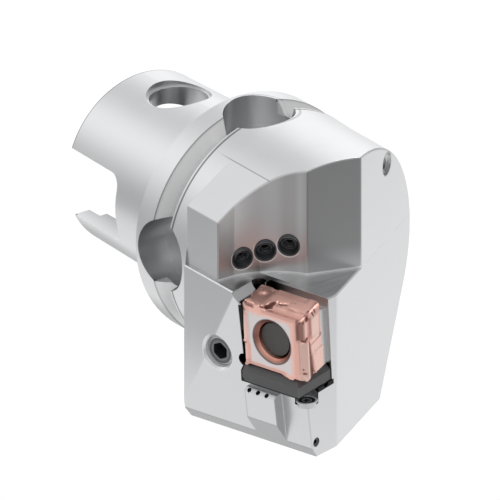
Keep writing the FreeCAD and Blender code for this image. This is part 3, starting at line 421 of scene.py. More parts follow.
def side_form(q, d):
    """How far the side lies inside its block: q from the front, d down from the top."""
    upper = 0.65 * (1.0 - smooth(5.9, 6.4, d)) * (1.0 - smooth(3.3, 3.9, q))
    foot = 1.7 + 0.1 * math.sin(d)
    far = 2.1 + 0.27 * (d - 6.4)
    groove = 0.0
    if d > 6.2:
        groove = 1.1 * smooth(foot - 0.1, foot + 0.25, q) * (1.0 - smooth(far - 0.9, far, q))
        groove *= smooth(6.2, 6.8, d)
    step = 0.28 * smooth(7.7, 8.3, d) * smooth(far - 0.3, far + 0.3, q)
    rim = 0.35 * smooth(7.9, 8.4, q) * (1.0 - smooth(7.4, 8.0, d)) * smooth(1.2, 2.0, d)
    return upper + groove + step + rim


def front_form(x, z):
    """How far the front lies behind its block."""
    from_right, from_left = INSERT_X[1] - x, x - INSERT_X[0]
    land = 0.0
    for edge, up in ((from_right, z), (from_left, -z)):
        land += 0.5 * (1.0 - smooth(1.6, 2.4, edge)) * smooth(2.4, 3.0, up) * (1.0 - smooth(7.6, 8.3, up))
        land += 1.0 * max(0.0, 1.0 - edge / 2.1) * (1.0 - smooth(2.2, 2.8, up))
    return land


def insert_place(u, v, w):
    """The insert's surface at three shares (along, from the front, up), with its forms."""
    s, q, d = u * WIDTH, v * INSERT_THICK, (1.0 - w) * HEIGHT
    front = front_form(INSERT_X[0] + s, HEIGHT / 2 - d)
    rear = front_form(INSERT_X[1] - s, HEIGHT / 2 - d)
    left, right = side_form(q, HEIGHT - d), side_form(q, d)
    bottom, top = top_form(WIDTH - s, q), top_form(s, q)
    x = INSERT_X[0] - INSERT_SKEW * v + left + u * (WIDTH - left - right)
    y = -INSERT_THICK + front + v * (INSERT_THICK - front - rear)
    z = INSERT_Z[0] + bottom + w * (HEIGHT + INSERT_RISE * v - bottom - top)
    middle_x = (INSERT_X[0] + INSERT_X[1]) / 2 - INSERT_SKEW * v
    inner_x, inner_z = WIDTH / 2 - INSERT_CORNER, HEIGHT / 2 - INSERT_CORNER
    over_x, over_z = abs(x - middle_x) - inner_x, abs(z) - inner_z
    if over_x > 0.0 and over_z > 0.0:
        share = max(over_x, over_z) / math.hypot(over_x, over_z)
        x = middle_x + math.copysign(inner_x + over_x * share, x - middle_x)
        z = math.copysign(inner_z + over_z * share, z)
    return Vector((x, y, z)) * MM


def grid_block(place):
    """A closed block of fine squares whose points are placed by a function."""
    bm = bmesh.new()
    counts = (round(WIDTH / STEP), round(INSERT_THICK / STEP), round(HEIGHT / STEP))
    made = {}

    def vertex(key):
        if key not in made:
            made[key] = bm.verts.new(place(*(k / n for k, n in zip(key, counts))))
        return made[key]

    for axis in range(3):
        first, second = [k for k in range(3) if k != axis]
        for end in (0, counts[axis]):
            for i in range(counts[first]):
                for j in range(counts[second]):
                    ring = []
                    for di, dj in ((0, 0), (1, 0), (1, 1), (0, 1)):
                        key = [0, 0, 0]
                        key[axis], key[first], key[second] = end, i + di, j + dj
                        ring.append(vertex(tuple(key)))
                    bm.faces.new(ring)
    bmesh.ops.recalc_face_normals(bm, faces=bm.faces)
    return bm


def turns(count):
    """Even turns round a circle, in radians."""
    return [2 * math.pi * k / count for k in range(count)]


def bridge(bm, rings):
    """Faces from each ring of points to the next one."""
    for low, high in zip(rings, rings[1:]):
        for k in range(len(low)):
            after = (k + 1) % len(low)
            bm.faces.new((low[k], low[after], high[after], high[k]))


def close(bm, rings):
    """Faces between rings and over both ends."""
    bridge(bm, rings)
    bm.faces.new(rings[0])
    bm.faces.new(rings[-1])
    bmesh.ops.recalc_face_normals(bm, faces=bm.faces)


def lathe(profile):
    """A closed solid turned round the Y axis from (y, radius) points."""
    bm = bmesh.new()
    close(bm, [[bm.verts.new((radius * math.cos(turn) * MM, y * MM, radius * math.sin(turn) * MM))
                for turn in turns(LATHE_POINTS)] for y, radius in profile])
    return bm


def soften(mesh, angle):
    """Smooth shading, but for edges sharper than an angle in degrees."""
    mesh.polygons.foreach_set("use_smooth", [True] * len(mesh.polygons))
    mesh.set_sharp_from_angle(angle=math.radians(angle))


def to_object(name, bm, place=Matrix()):
    """An object from mesh code, put at its place."""
    mesh = bpy.data.meshes.new(name)
    bm.to_mesh(mesh)
    bm.free()
    piece = bpy.data.objects.new(name, mesh)
    bpy.context.scene.collection.objects.link(piece)
    piece.matrix_world = place
    return piece


def make_insert():
    """The insert with its chip forms, pads and lipped hole."""
    piece = to_object("dressed_insert", grid_block(insert_place), SEAT)
    open_end = HOLE_LIP + 1.0
    tool = to_object("insert_hole_tool", lathe([
        (-INSERT_THICK - 1.0, HOLE_RADIUS + open_end), (-INSERT_THICK + HOLE_LIP, HOLE_RADIUS),
        (-HOLE_LIP, HOLE_RADIUS), (1.0, HOLE_RADIUS + open_end)]), SEAT)
    cutter = piece.modifiers.new("hole", "BOOLEAN")
    cutter.operation = "DIFFERENCE"
    cutter.solver = "EXACT"
    cutter.object = tool
    bpy.context.view_layer.update()
    evaluated = piece.evaluated_get(bpy.context.evaluated_depsgraph_get())
    mesh = bpy.data.meshes.new_from_object(evaluated)
    piece.modifiers.clear()
    piece.data = mesh
    bpy.data.objects.remove(tool)
    soften(mesh, 32.0)
    return piece


def stroke(point, start, end, width):
    """1 on a line from start to end, falling off to its sides."""
    px, py = point[0] - start[0], point[1] - start[1]
    ex, ey = end[0] - start[0], end[1] - start[1]
    share = min(max((px * ex + py * ey) / (ex * ex + ey * ey), 0.0), 1.0)
    return math.exp(-(math.hypot(px - share * ex, py - share * ey) / width) ** 4)


def patch(value, low, high, soft=0.3):
    """1 between two bounds with soft ends."""
    return smooth(low - soft, low + soft, value) * (1.0 - smooth(high - soft, high + soft, value))


def strongest(*tones):
    """The darkest tone, or the lightest one where none is dark."""
    return max(tones) if max(tones) > 0.05 else min(tones)


def top_shade(s, q):
    """Painted shade in the top's hollows."""
    at = (s, q)
    low = patch(s, 6.6, 19.2, 0.8)
    return max(
        0.95 * stroke(at, (6.5, 0.6), (8.7, 3.7), 0.50),
        0.80 * stroke(at, (9.9, 3.6), (12.2, 4.5), 0.26),
        0.60 * stroke(at, (12.9, 5.7), (12.95, 5.75), 0.22),
        0.60 * stroke(at, (13.8, 5.9), (13.85, 5.95), 0.22),
        0.42 * patch(s, 0.9, 6.0, 0.5) * patch(q, 2.9 - 0.2 * s, 8.6, 0.4)
        * (1.0 - stroke(at, (2.0, 6.9), (3.2, 6.7), 1.1)),
        0.75 * stroke(at, (2.3, 6.7), (2.35, 6.75), 0.26),
        0.75 * stroke(at, (3.0, 7.1), (3.05, 7.15), 0.26),
        0.22 * low * (1.0 - smooth(2.5, 3.2, q)),
        0.45 * low * stroke(at, (7.5, 3.1), (19.0, 3.0), 0.22),
        0.85 * stroke(at, (19.3, 2.2), (18.8, 4.6), 0.40),
        0.45 * stroke(at, (18.9, 4.6), (18.4, 9.0), 0.25),
        0.85 * stroke(at, (19.7, 5.0), (19.75, 5.05), 0.34),
        0.85 * stroke(at, (19.5, 6.2), (19.55, 6.25), 0.34),
    )


def side_shade(q, d):
    """Painted shade in the upright side's hollows; painted highlights on its bright pads are below zero."""
    at = (q, d)
    far = 2.1 + 0.27 * (d - 6.4)
    return strongest(
        -0.75 * patch(q, 3.8, 7.9, 0.25) * patch(d, 0.6, 7.5, 0.25),
        -0.40 * patch(q, -1.0, 3.3, 0.2) * patch(d, 0.6, 5.8, 0.2),
        -0.55 * patch(q, -1.0, 1.6, 0.1) * smooth(6.3, 6.8, d),
        -0.45 * smooth(far, far + 0.4, q) * smooth(8.4, 9.0, d),
        0.30 * stroke(at, (3.5, 1.0), (3.4, 5.6), 0.18),
        0.90 * stroke(at, (0.0, 6.1), (2.0, 5.9), 0.24),
        0.93 * smooth(1.5, 1.75, q) * (1.0 - smooth(far - 0.25, far + 0.1, q)) * smooth(6.3, 6.8, d),
        0.36 * patch(d, 7.6, 8.5, 0.15) * smooth(far, far + 0.5, q),
        0.45 * stroke(at, (5.0, 10.6), (5.05, 10.65), 0.26),
        0.45 * stroke(at, (5.4, 11.8), (5.45, 11.85), 0.26),
        0.85 * stroke(at, (0.2, 13.9), (0.25, 13.95), 0.30),
        0.85 * stroke(at, (0.5, 15.0), (0.55, 15.05), 0.30),
        0.30 * stroke(at, (8.4, 1.0), (8.0, 8.0), 0.25),
    )


def front_shade(x, z):
    """Painted shade in the front's grooves and on the hole's lip; painted highlights on its lands and on the
    lip's lower left are below zero.
    """
    at = (x, z)
    radius = math.hypot(x, z)
    turn = math.degrees(math.atan2(z, x)) % 360.0
    upper_left = patch(turn, 80.0, 200.0, 30.0)
    streak = patch(turn, 205.0, 270.0, 20.0)
    return strongest(
        -0.55 * smooth(8.4, 8.7, x) * (1.0 - smooth(1.9, 2.2, z)),
        0.74 * patch(x, 7.7, 9.9, 0.25) * patch(z, 2.6, 8.2, 0.3),
        0.72 * stroke(at, (-9.0, 8.3), (-5.6, 8.1), 0.34),
        0.30 * stroke(at, (8.5, 2.4), (8.5, -6.5), 0.12),
        0.85 * stroke((radius, 0.0), (5.95, 0.0), (5.96, 0.0), 0.17),
        (0.55 + 0.25 * upper_left - 0.80 * streak) * patch(radius, 5.3, 5.9, 0.1),
        0.14 * patch(abs(x), 6.9, 8.4, 0.5),
    )


def hole_shade(x, y, z):
    """Painted shade inside the hole, darker further in and on its upper left, lighter where a highlight is
    painted on its lower left.
    """
    turn = math.degrees(math.atan2(z, x)) % 360.0
    bright = patch(turn, 200.0, 275.0, 25.0)
    depth = y + INSERT_THICK
    return min(0.88, 0.42 + 0.30 * smooth(1.4, 2.6, depth) + 0.25 * patch(turn, 70.0, 190.0, 30.0)
               - 0.85 * bright)


def insert_shade(point):
    """Painted shade at a point of the insert, in its own millimetres; painted highlights are below zero."""
    x, y, z = point
    v = min(max((y + INSERT_THICK) / INSERT_THICK, 0.0), 1.0)
    left = INSERT_X[0] - INSERT_SKEW * v
    s, q, d = x - left, y + INSERT_THICK, INSERT_Z[1] + INSERT_RISE * v - z
    if math.hypot(x, z) < HOLE_RADIUS + HOLE_LIP - 0.05:
        if q < HOLE_LIP * 0.98:
            return front_shade(x, z)
        return hole_shade(x, y, z)
    shades = [0.0]
    if q < 1.15:
        shades.append(front_shade(x, z))
    if q > INSERT_THICK - 1.15:
        shades.append(front_shade(-x, z))
    if d < 1.6:
        shades.append(top_shade(s, q))
    if z < INSERT_Z[0] + 1.6:
        shades.append(top_shade(WIDTH - s, q))
    if s > WIDTH - 1.3:
        shades.append(side_shade(q, d))
    if s < 1.3:
        shades.append(side_shade(q, HEIGHT - d))
    return strongest(*shades)


dressed_insert = make_insert()
# The insert's painted shade and painted highlights, stored on its points.
shade = dressed_insert.data.attributes.new("shade", "FLOAT", "POINT")
shade.data.foreach_set("value", [insert_shade(vertex.co / MM) for vertex in dressed_insert.data.vertices])
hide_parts("cutting_insert")
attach(dressed_insert, "holder")


# ---------------------------------------------------------------- nozzles
GULLET_RADIUS = 21.0
GULLET_ARC = (Vector((33.3, -25.9)), Vector((43.1, -10.7)))
NOZZLE_PITCH = math.radians(20.0)
NOZZLE_BEARING = 150.2
NOZZLE_SPREAD = 15.8
NOZZLE_Z = 7.5
NOZZLE_Z_STEP = 1.45
NOZZLE_RADIUS = 2.85
NOZZLE_POINTS = 72
SMALL_SHARP = 28.0
# From the wall's surface inwards: depth, radius; None is where the round wall cuts it off.
NOZZLE_PROFILE = [
    (6.0, 0.60), (6.0, 2.85), (None, 2.85), (None, 2.50), (0.25, 2.32), (0.85, 2.10), (0.95, 1.82),
    (0.55, 1.72), (0.50, 1.52), (0.85, 1.42), (1.00, 1.46), (1.20, 1.34), (1.40, 1.38), (1.70, 1.26),
    (1.75, 0.95), (3.4, 0.95), (3.4, 0.60), (5.8, 0.60),
]


def wall_centre():
    """Axis of the gullet's round wall, seen from above."""
    start, end = GULLET_ARC
    half = (end - start) / 2
    left = Vector((-half.y, half.x)).normalized()
    return start + half - left * math.sqrt(GULLET_RADIUS ** 2 - half.length_squared)


def wall_depth(point, way, centre):
    """How far behind a point, against the nozzle's way, the round wall's surface lies."""
    px, py = point.x - centre.x, point.y - centre.y
    a = way.x ** 2 + way.y ** 2
    b = -(px * way.x + py * way.y)
    c = px * px + py * py - GULLET_RADIUS ** 2
    return (-b + math.sqrt(max(b * b - a * c, 0.0))) / a


def nozzle_frame(step):
    """Middle of a nozzle's mouth, its way out, and the two directions across it."""
    centre = wall_centre()
    bearing = math.radians(NOZZLE_BEARING + step * NOZZLE_SPREAD)
    outward = Vector((-math.cos(bearing), -math.sin(bearing), 0.0))
    mouth = Vector((centre.x, centre.y, 0.0)) - outward * GULLET_RADIUS
    mouth.z = NOZZLE_Z - step * NOZZLE_Z_STEP
    way = outward * math.cos(NOZZLE_PITCH) - Vector((0.0, 0.0, 1.0)) * math.sin(NOZZLE_PITCH)
    side = way.cross(Vector((0.0, 0.0, 1.0))).normalized()
    return mouth, way, side, side.cross(way)


def make_nozzle(name, step):
    """A stepped cup with a jet, cut off along the round wall."""
    centre = wall_centre()
    mouth, way, side, rise = nozzle_frame(step)
    bm = bmesh.new()
    rings = []
    for depth, radius in NOZZLE_PROFILE:
        ring = []
        for turn in turns(NOZZLE_POINTS):
            point = mouth + (side * math.cos(turn) + rise * math.sin(turn)) * radius
            down = wall_depth(point, way, centre) + 0.03 if depth is None else depth
            ring.append(bm.verts.new((point - way * down) * MM))
        rings.append(ring)
    bridge(bm, rings + rings[:1])
    bmesh.ops.recalc_face_normals(bm, faces=bm.faces)
    piece = to_object("dressed_" + name, bm)
    soften(piece.data, SMALL_SHARP)
    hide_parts(name)
    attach(piece, "holder")
    return piece


dressed_nozzles = [make_nozzle("rake_nozzle_" + word, step)
                   for word, step in (("left", 1), ("middle", 0), ("right", -1))]


# ---------------------------------------------------------------- corner screw
# Its axis along and across the lead.
CORNER_SCREW = (50.0, 35.4)
STAR_POINTS = 6
CORNER_SCREW_TOP = -23.9
# Height from its top, radius, and how deep the star's points cut in.
CORNER_PROFILE = [
    (-1.6, 0.5, 0.0), (-1.6, 2.3, 0.0), (-0.5, 2.3, 0.0), (-0.35, 2.75, 0.0), (-0.1, 2.75, 0.0),
    (0.0, 2.6, 0.0), (0.0, 2.3, 0.0), (-0.2, 2.1, 0.0), (-0.2, 1.0, 0.05),
    (-0.32, 0.80, 0.12), (-1.1, 0.78, 0.12), (-1.15, 0.4, 0.0),
]


def make_corner_screw():
    """A flat screw with a star socket, which fills its notch."""
    h, n = CORNER_SCREW
    middle = Vector((h * math.cos(LEAD_ANGLE) + n * math.sin(LEAD_ANGLE),
                     h * math.sin(LEAD_ANGLE) - n * math.cos(LEAD_ANGLE), CORNER_SCREW_TOP))
    bm = bmesh.new()
    rings = []
    for height, radius, points in CORNER_PROFILE:
        ring = []
        for turn in turns(LATHE_POINTS):
            out = radius + points * math.cos(STAR_POINTS * turn)
            spot = middle + Vector((out * math.cos(turn), out * math.sin(turn), height))
            ring.append(bm.verts.new(spot * MM))
        rings.append(ring)
    close(bm, rings)
    piece = to_object("dressed_corner_screw", bm)
    soften(piece.data, SMALL_SHARP)
    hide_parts("corner_screw")
    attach(piece, "holder")
    return piece


dressed_corner_screw = make_corner_screw()


# ---------------------------------------------------------------- materials
LEAD = (math.cos(LEAD_ANGLE), math.sin(LEAD_ANGLE), 0.0)
HEAD_X = 20.5 * MM
HEAD_LEFT = -31.5 * MM
LEDGE = 0.9 * MM
POCKET_X = 10.3 * MM
POCKET_RADIUS = 9.0 * MM
BORE_RADIUS = 16.9 * MM
END_ANGLE = math.radians(33.4)
END_OUT = Vector((math.cos(END_ANGLE), math.sin(END_ANGLE), 0.0))
PORT = Vector((37.5, 17.6, 21.8)) * MM
PORT_ACROSS = Vector((-math.sin(END_ANGLE), math.cos(END_ANGLE), 0.0))
BOSS_LEFT = 34.3
BOSS_WIDTH = 9.4
TOE_SLOPE = math.radians(35.8)
TOE_REACH = 33.6 * math.cos(TOE_SLOPE) + 39.5 * math.sin(TOE_SLOPE)
# The clamp screw's axis along and up the seat.
CLAMP_SCREW = (-19.5, -9.5)
SHOULDER = math.radians(33.5)
# Way down and to the left from the shank's axis, where shade is painted along its outline.
UNDERSIDE = (0.0, -0.608, -0.794)
# Painted shadow outlining the shim on the steel, in black: from and to along the seat, from and to up it.
SHIM_OUTLINE = [(-10.7, -9.0, -14.0, -8.8), (-10.7, -7.4, -14.1, -12.9), (-8.0, 6.8, -13.65, -13.0),
                (6.6, 12.0, -14.4, -13.0)]
GULLET_FIRST_X = 33.3 * MM
GULLET_CORNER = Vector((43.1, -10.7, 0.0)) * MM
GULLET_TURN = math.radians(17.8)
GULLET_OUT = Vector((math.cos(GULLET_TURN), -math.sin(GULLET_TURN), 0.0))
GULLET_FLOOR = 1.5 * MM


def along(g, axis, place):
    """Distance in metres along one of the seat's axes, from the seat's origin."""
    way = SEAT.col[axis].xyz
    return g.math("SUBTRACT", g.dot(g.object, way), way.dot(SEAT.translation) + place * MM)


def inside(g, axis, low, high, soft=0.15):
    """1 between two places along one of the seat's axes."""
    value = along(g, axis, 0.0)
    rise = g.step(value, (low - soft) * MM, (low + soft) * MM)
    fall = g.step(value, (high - soft) * MM, (high + soft) * MM)
    return g.times(rise, g.flip(fall))


def distance(g, first, second):
    """Length of two parts together."""
    return g.math("SQRT", g.math("ADD", g.times(first, first), g.times(second, second)))


def leaning(angle):
    """Way out of a facet across the lead that leans in downwards."""
    c, s = math.cos(angle), math.sin(angle)
    return (math.sin(LEAD_ANGLE) * c, -math.cos(LEAD_ANGLE) * c, -s)


def from_corner_screw(g):
    """Distance from the upright axis of the screw at the corner."""
    h = g.dot(g.object, LEAD)
    n = g.dot(g.object, (math.sin(LEAD_ANGLE), -math.cos(LEAD_ANGLE), 0.0))
    return distance(g, g.math("SUBTRACT", h, CORNER_SCREW[0] * MM),
                    g.math("SUBTRACT", n, CORNER_SCREW[1] * MM))


def from_clamp_screw(g):
    """Distance from the clamp screw's axis."""
    return distance(g, along(g, 0, CLAMP_SCREW[0]), along(g, 2, CLAMP_SCREW[1]))


def port_parts(g):
    """Distances across and up from the axis of the port in the end face."""
    return (g.math("SUBTRACT", g.dot(g.object, PORT_ACROSS), PORT_ACROSS.dot(PORT)),
            g.math("SUBTRACT", g.split(g.object)[2], PORT.z))


def from_port(g):
    """Distance from the axis of the port in the end face."""
    return distance(g, *port_parts(g))


def painted_gap_shadow(g):
    """1 where shadow is painted black: in the narrow reliefs round the insert and the shim, and along the
    shim's outline.
    """
    depth = inside(g, 1, -10.8, 4.0)
    left = g.times(inside(g, 0, -13.6, -9.75), inside(g, 2, -15.0, 7.6))
    foot = g.times(inside(g, 0, -13.6, 13.0), inside(g, 2, -14.2, -8.6))
    rim = g.times(inside(g, 0, -13.6, -6.5, 3.0), inside(g, 2, 6.0, 16.0), inside(g, 1, 0.6, 4.0))
    front, side = g.dot(g.object, leaning(FRONT_TILT)), g.dot(g.object, LEAD)
    for reach, value in ((FRONT_REACH * math.cos(FRONT_TILT), front), (SIDE_REACH, side)):
        depth = g.times(depth, g.flip(g.step(value, (reach - 0.6) * MM, (reach - 0.4) * MM)))
    foot = g.times(foot, g.step(from_corner_screw(g), 3.2 * MM, 3.5 * MM))
    gap = g.times(depth, g.most(left, foot, rim))
    outline = g.times(inside(g, 0, -10.8, -9.3), inside(g, 2, -8.3, 7.0))
    for x_low, x_high, z_low, z_high in SHIM_OUTLINE:
        bar = g.times(inside(g, 0, x_low, x_high, 0.1), inside(g, 2, z_low, z_high, 0.1))
        outline = g.most(outline, bar)
    corner = g.step(distance(g, along(g, 0, -10.6), along(g, 2, -8.3)), 1.1 * MM, 1.3 * MM)
    outline = g.most(outline, g.flip(corner))
    return g.most(gap, g.times(outline, inside(g, 1, -12.5, 3.0)))


def nozzle_rims(g):
    """1 on the lower lips of the nozzles' bores, where a highlight is painted."""
    total = 0.0
    for step in (1, 0, -1):
        mouth, way, side, rise = nozzle_frame(step)
        right = g.math("SUBTRACT", g.dot(g.object, side), side.dot(mouth) * MM)
        up = g.math("SUBTRACT", g.dot(g.object, rise), rise.dot(mouth) * MM)
        ring = g.line(distance(g, right, up), (NOZZLE_RADIUS + 0.16) * MM, 0.12 * MM)
        lower = g.flip(g.step(g.math("ADD", up, g.times(right, -0.6)), -1.0 * MM, 1.0 * MM))
        total = g.most(g.times(ring, lower), total)
    centre = wall_centre() * MM
    x, y, _ = g.split(g.object)
    near = distance(g, g.math("SUBTRACT", x, centre.x), g.math("SUBTRACT", y, centre.y))
    return g.times(total, g.line(near, GULLET_RADIUS * MM, 0.2 * MM))


def painted_edge_shade(g, x, radius):
    """1 on the fine dark lines of shade painted along the turned edges and on the shoulder's crease."""
    rims = g.most(g.line(x, 6.45 * MM, 0.16 * MM), g.line(x, 13.9 * MM, 0.28 * MM),
                  g.times(g.line(x, 0.2 * MM, 0.12 * MM), 0.35))
    rims = g.times(rims, g.step(radius, 30.6 * MM, 30.9 * MM), g.flip(g.step(x, HEAD_X - 0.3 * MM, HEAD_X)))
    end = g.times(g.line(x, -40.45 * MM, 0.32 * MM), g.step(radius, 21.9 * MM, 22.1 * MM))
    up = g.dot(g.object, (0.0, -math.sin(SHOULDER), math.cos(SHOULDER)))
    over = g.dot(g.object, (0.0, math.cos(SHOULDER), math.sin(SHOULDER)))
    crease = g.times(g.line(over, 0.0, 0.14 * MM), g.step(up, 31.0 * MM, 31.1 * MM),
                     g.step(x, 14.5 * MM, 22.0 * MM), 0.7)
    return g.most(rims, end, crease)


def painted_flat_shade(g, y, z, on_head, color):
    """Steel with painted shade: darker on the head's left side, on its toe and on two sides of the boss."""
    upper = g.step(z, GULLET_FLOOR - 0.1 * MM, GULLET_FLOOR)
    left = g.most(g.line(y, HEAD_LEFT, 0.06 * MM), g.times(g.line(y, HEAD_LEFT + LEDGE, 0.12 * MM), upper))
    left = g.times(on_head, left, g.spread(g.step(z, -33.0 * MM, -10.0 * MM), 0.0, 0.85))
    color = g.mix(left, color, (0.47, 0.475, 0.485))
    h = g.dot(g.object, LEAD)
    front = FRONT_REACH * math.cos(FRONT_TILT) * MM
    on_boss = g.step(g.dot(g.object, leaning(FRONT_TILT)), front + 0.2 * MM, front + 0.4 * MM)
    toe = g.times(on_head, g.line(g.dot(g.object, leaning(TOE_SLOPE)), TOE_REACH * MM, 0.15 * MM), 0.8)
    boss = g.most(g.times(g.line(h, (BOSS_LEFT + BOSS_WIDTH) * MM, 0.15 * MM), 0.5),
                  g.times(g.line(h, (BOSS_LEFT + 0.1) * MM, 0.25 * MM), 0.45))
    return g.mix(g.most(toe, g.times(boss, on_boss)), color, (0.37, 0.375, 0.38))


def painted_gullet_light(g, x, y, z, color):
    """Steel with painted shade and painted reflections on the gullet's walls, and a mask of the painted
    highlight at their foot.
    """
    above = g.step(z, GULLET_FLOOR, GULLET_FLOOR + 0.4 * MM)
    last = g.math("SUBTRACT", g.dot(g.object, GULLET_OUT), GULLET_OUT.dot(GULLET_CORNER))
    last = g.line(last, 0.0, 0.15 * MM)
    share = g.times(last, g.step(y, -11.0 * MM, -10.6 * MM), above,
                    g.spread(g.step(z, 2.0 * MM, 9.0 * MM), 0.30, 0.70))
    # Painted shade: the last wall darker, more so higher up.
    color = g.mix(share, color, (0.20, 0.20, 0.202))
    centre = wall_centre() * MM
    out_x, out_y = g.math("SUBTRACT", x, centre.x), g.math("SUBTRACT", y, centre.y)
    middle = g.line(distance(g, out_x, out_y), GULLET_RADIUS * MM, 0.12 * MM)
    waves = g.noise(g.combine(g.math("DIVIDE", out_y, out_x), 0.0, 0.0), 2.4, 0.0)
    share = g.times(middle, above, g.flip(g.step(y, -10.8 * MM, -10.6 * MM)),
                    g.flip(g.step(x, 43.4 * MM, 43.6 * MM)), g.step(waves, 0.35, 0.65), 0.45)
    # Painted reflection: brownish bands round the round wall.
    color = g.mix(share, color, (0.50, 0.47, 0.46))
    first = g.times(g.line(x, GULLET_FIRST_X, 0.12 * MM), g.flip(g.step(y, -25.7 * MM, -25.5 * MM)))
    # Painted reflection: a brownish tone on the first, square wall.
    color = g.mix(g.times(first, above, 0.45), color, (0.42, 0.37, 0.36))
    # Painted highlight: a bright line along the walls' foot.
    foot = g.times(g.line(z, GULLET_FLOOR + 0.26 * MM, 0.20 * MM), g.most(last, first, middle),
                   g.step(x, 33.0 * MM, 33.2 * MM))
    return color, foot


def shaded_hollows(g, x, y, z, radius):
    """1 where shade is painted: in the gripper pockets, in the shank's bore and round the port; less where a
    highlight is painted deep in the pockets that open sideways.
    """
    beyond = g.math("SUBTRACT", x, POCKET_X)
    height, width = g.math("ABSOLUTE", z), g.math("ABSOLUTE", y)
    upright = g.times(g.line(distance(g, beyond, y), POCKET_RADIUS, 0.35 * MM),
                      g.step(height, 19.0 * MM, 20.0 * MM))
    sideways = g.times(g.line(distance(g, beyond, z), POCKET_RADIUS, 0.12 * MM),
                       g.step(width, 19.0 * MM, 20.0 * MM))
    lit = g.times(g.line(z, -3.2 * MM, 2.8 * MM), g.flip(g.step(width, 23.5 * MM, 27.5 * MM)))
    sideways = g.times(sideways, g.math("MULTIPLY_ADD", lit, -0.8, 1.0))
    bore = g.times(g.line(radius, BORE_RADIUS, 0.2 * MM), g.flip(g.step(x, 0.0, 2.0 * MM)), 0.6)
    rim = g.times(g.line(from_port(g), 3.02 * MM, 0.14 * MM),
                  g.line(g.dot(g.object, END_OUT), END_OUT.dot(PORT), 0.3 * MM), 0.8)
    return g.most(g.times(g.most(upright, sideways), 0.55), bore, rim)


def painted_highlights(g, x, z, radius, on_head):
    """1 where highlights are painted: on edges and on small faces such as the clamp screw's mouth, a
    groove's flank and the port's rim.
    """
    flank = g.times(g.line(x, 7.6 * MM, 1.0 * MM), g.step(radius, 27.5 * MM, 28.0 * MM),
                    g.flip(g.step(radius, 31.25 * MM, 31.35 * MM)), 0.9)
    mouth = g.times(g.line(from_clamp_screw(g), 4.45 * MM, 0.45 * MM), on_head, 0.75)
    port = g.times(g.line(from_port(g), 2.9 * MM, 0.12 * MM),
                   g.line(g.math("SUBTRACT", z, PORT.z), 0.1 * MM, 1.1 * MM),
                   g.step(x, 28.0 * MM, 29.0 * MM))
    return g.most(g.edges(EDGE_ROUND), nozzle_rims(g), mouth, flank, port)


def make_steel():
    """Satin steel: turned rings on the shank and flange, fine milling on the head's flats, with painted
    shade, reflections and highlights.
    """
    g = Graph("satin_steel")
    x, y, z = g.split(g.object)
    radius = distance(g, y, z)
    on_head = g.step(x, HEAD_X - 0.1 * MM, HEAD_X + 0.1 * MM)
    rings = g.noise(g.stretch(g.object, (1.0, 0.0, 0.0)), 9000.0, 2.0)
    mill = g.noise(g.stretch(g.object, (0.12, 0.12, 1.0)), 7000.0, 2.0)
    grain = g.noise(g.object, GRAIN_SCALE, 2.0)
    cloud = g.noise(g.object, 90.0, 4.0, 0.55)
    lines = g.math("ADD", g.times(g.flip(on_head), rings), g.times(on_head, mill))
    g.bump(g.math("MULTIPLY_ADD", grain, 0.6, lines), 0.10, GRAIN_DEPTH, EDGE_ROUND)
    color = g.mix(cloud, (0.690, 0.697, 0.707), (0.745, 0.750, 0.756))
    # Painted shade on the head's left side, its toe and the boss.
    color = painted_flat_shade(g, y, z, on_head, color)
    # Painted shade and reflections on the gullet's walls, and the painted highlight at their foot.
    color, foot = painted_gullet_light(g, x, y, z, color)
    # Painted shade along the lower left outline of the shank and the flange.
    below = g.math("DIVIDE", g.dot(g.object, UNDERSIDE), radius)
    under = g.times(g.step(below, 0.88, 1.0), g.flip(on_head), 0.85)
    color = g.mix(under, color, (0.24, 0.25, 0.255))
    color = g.mix(shaded_hollows(g, x, y, z, radius), color, (0.30, 0.31, 0.32))
    streaks = g.noise(g.stretch(g.object, (1.0, 0.15, 0.0)), 900.0, 3.0)
    floor = g.times(g.line(z, GULLET_FLOOR, 0.12 * MM), on_head, g.step(streaks, 0.35, 0.75), 0.45)
    color = g.mix(floor, color, (0.42, 0.42, 0.43))
    # Painted highlights: edges, small faces and the gullet walls' foot turn white and less metallic.
    bright = g.most(painted_highlights(g, x, z, radius, on_head), foot)
    color = g.mix(bright, color, PAINTED_HIGHLIGHT_TONE)
    # Painted shade: fine dark lines along the turned edges and the shoulder's crease.
    color = g.mix(g.times(painted_edge_shade(g, x, radius), 0.8), color, (0.10, 0.105, 0.11))
    # Painted shadow: black in the narrow gaps round the insert and the shim, and along the shim's outline.
    color = g.mix(painted_gap_shadow(g), color, (0.018, 0.018, 0.018))
    rough = g.math("ADD", g.spread(cloud, 0.28, 0.38), g.spread(lines, -0.03, 0.03))
    return g.finish(color, g.spread(bright, 1.0, 0.55), rough)


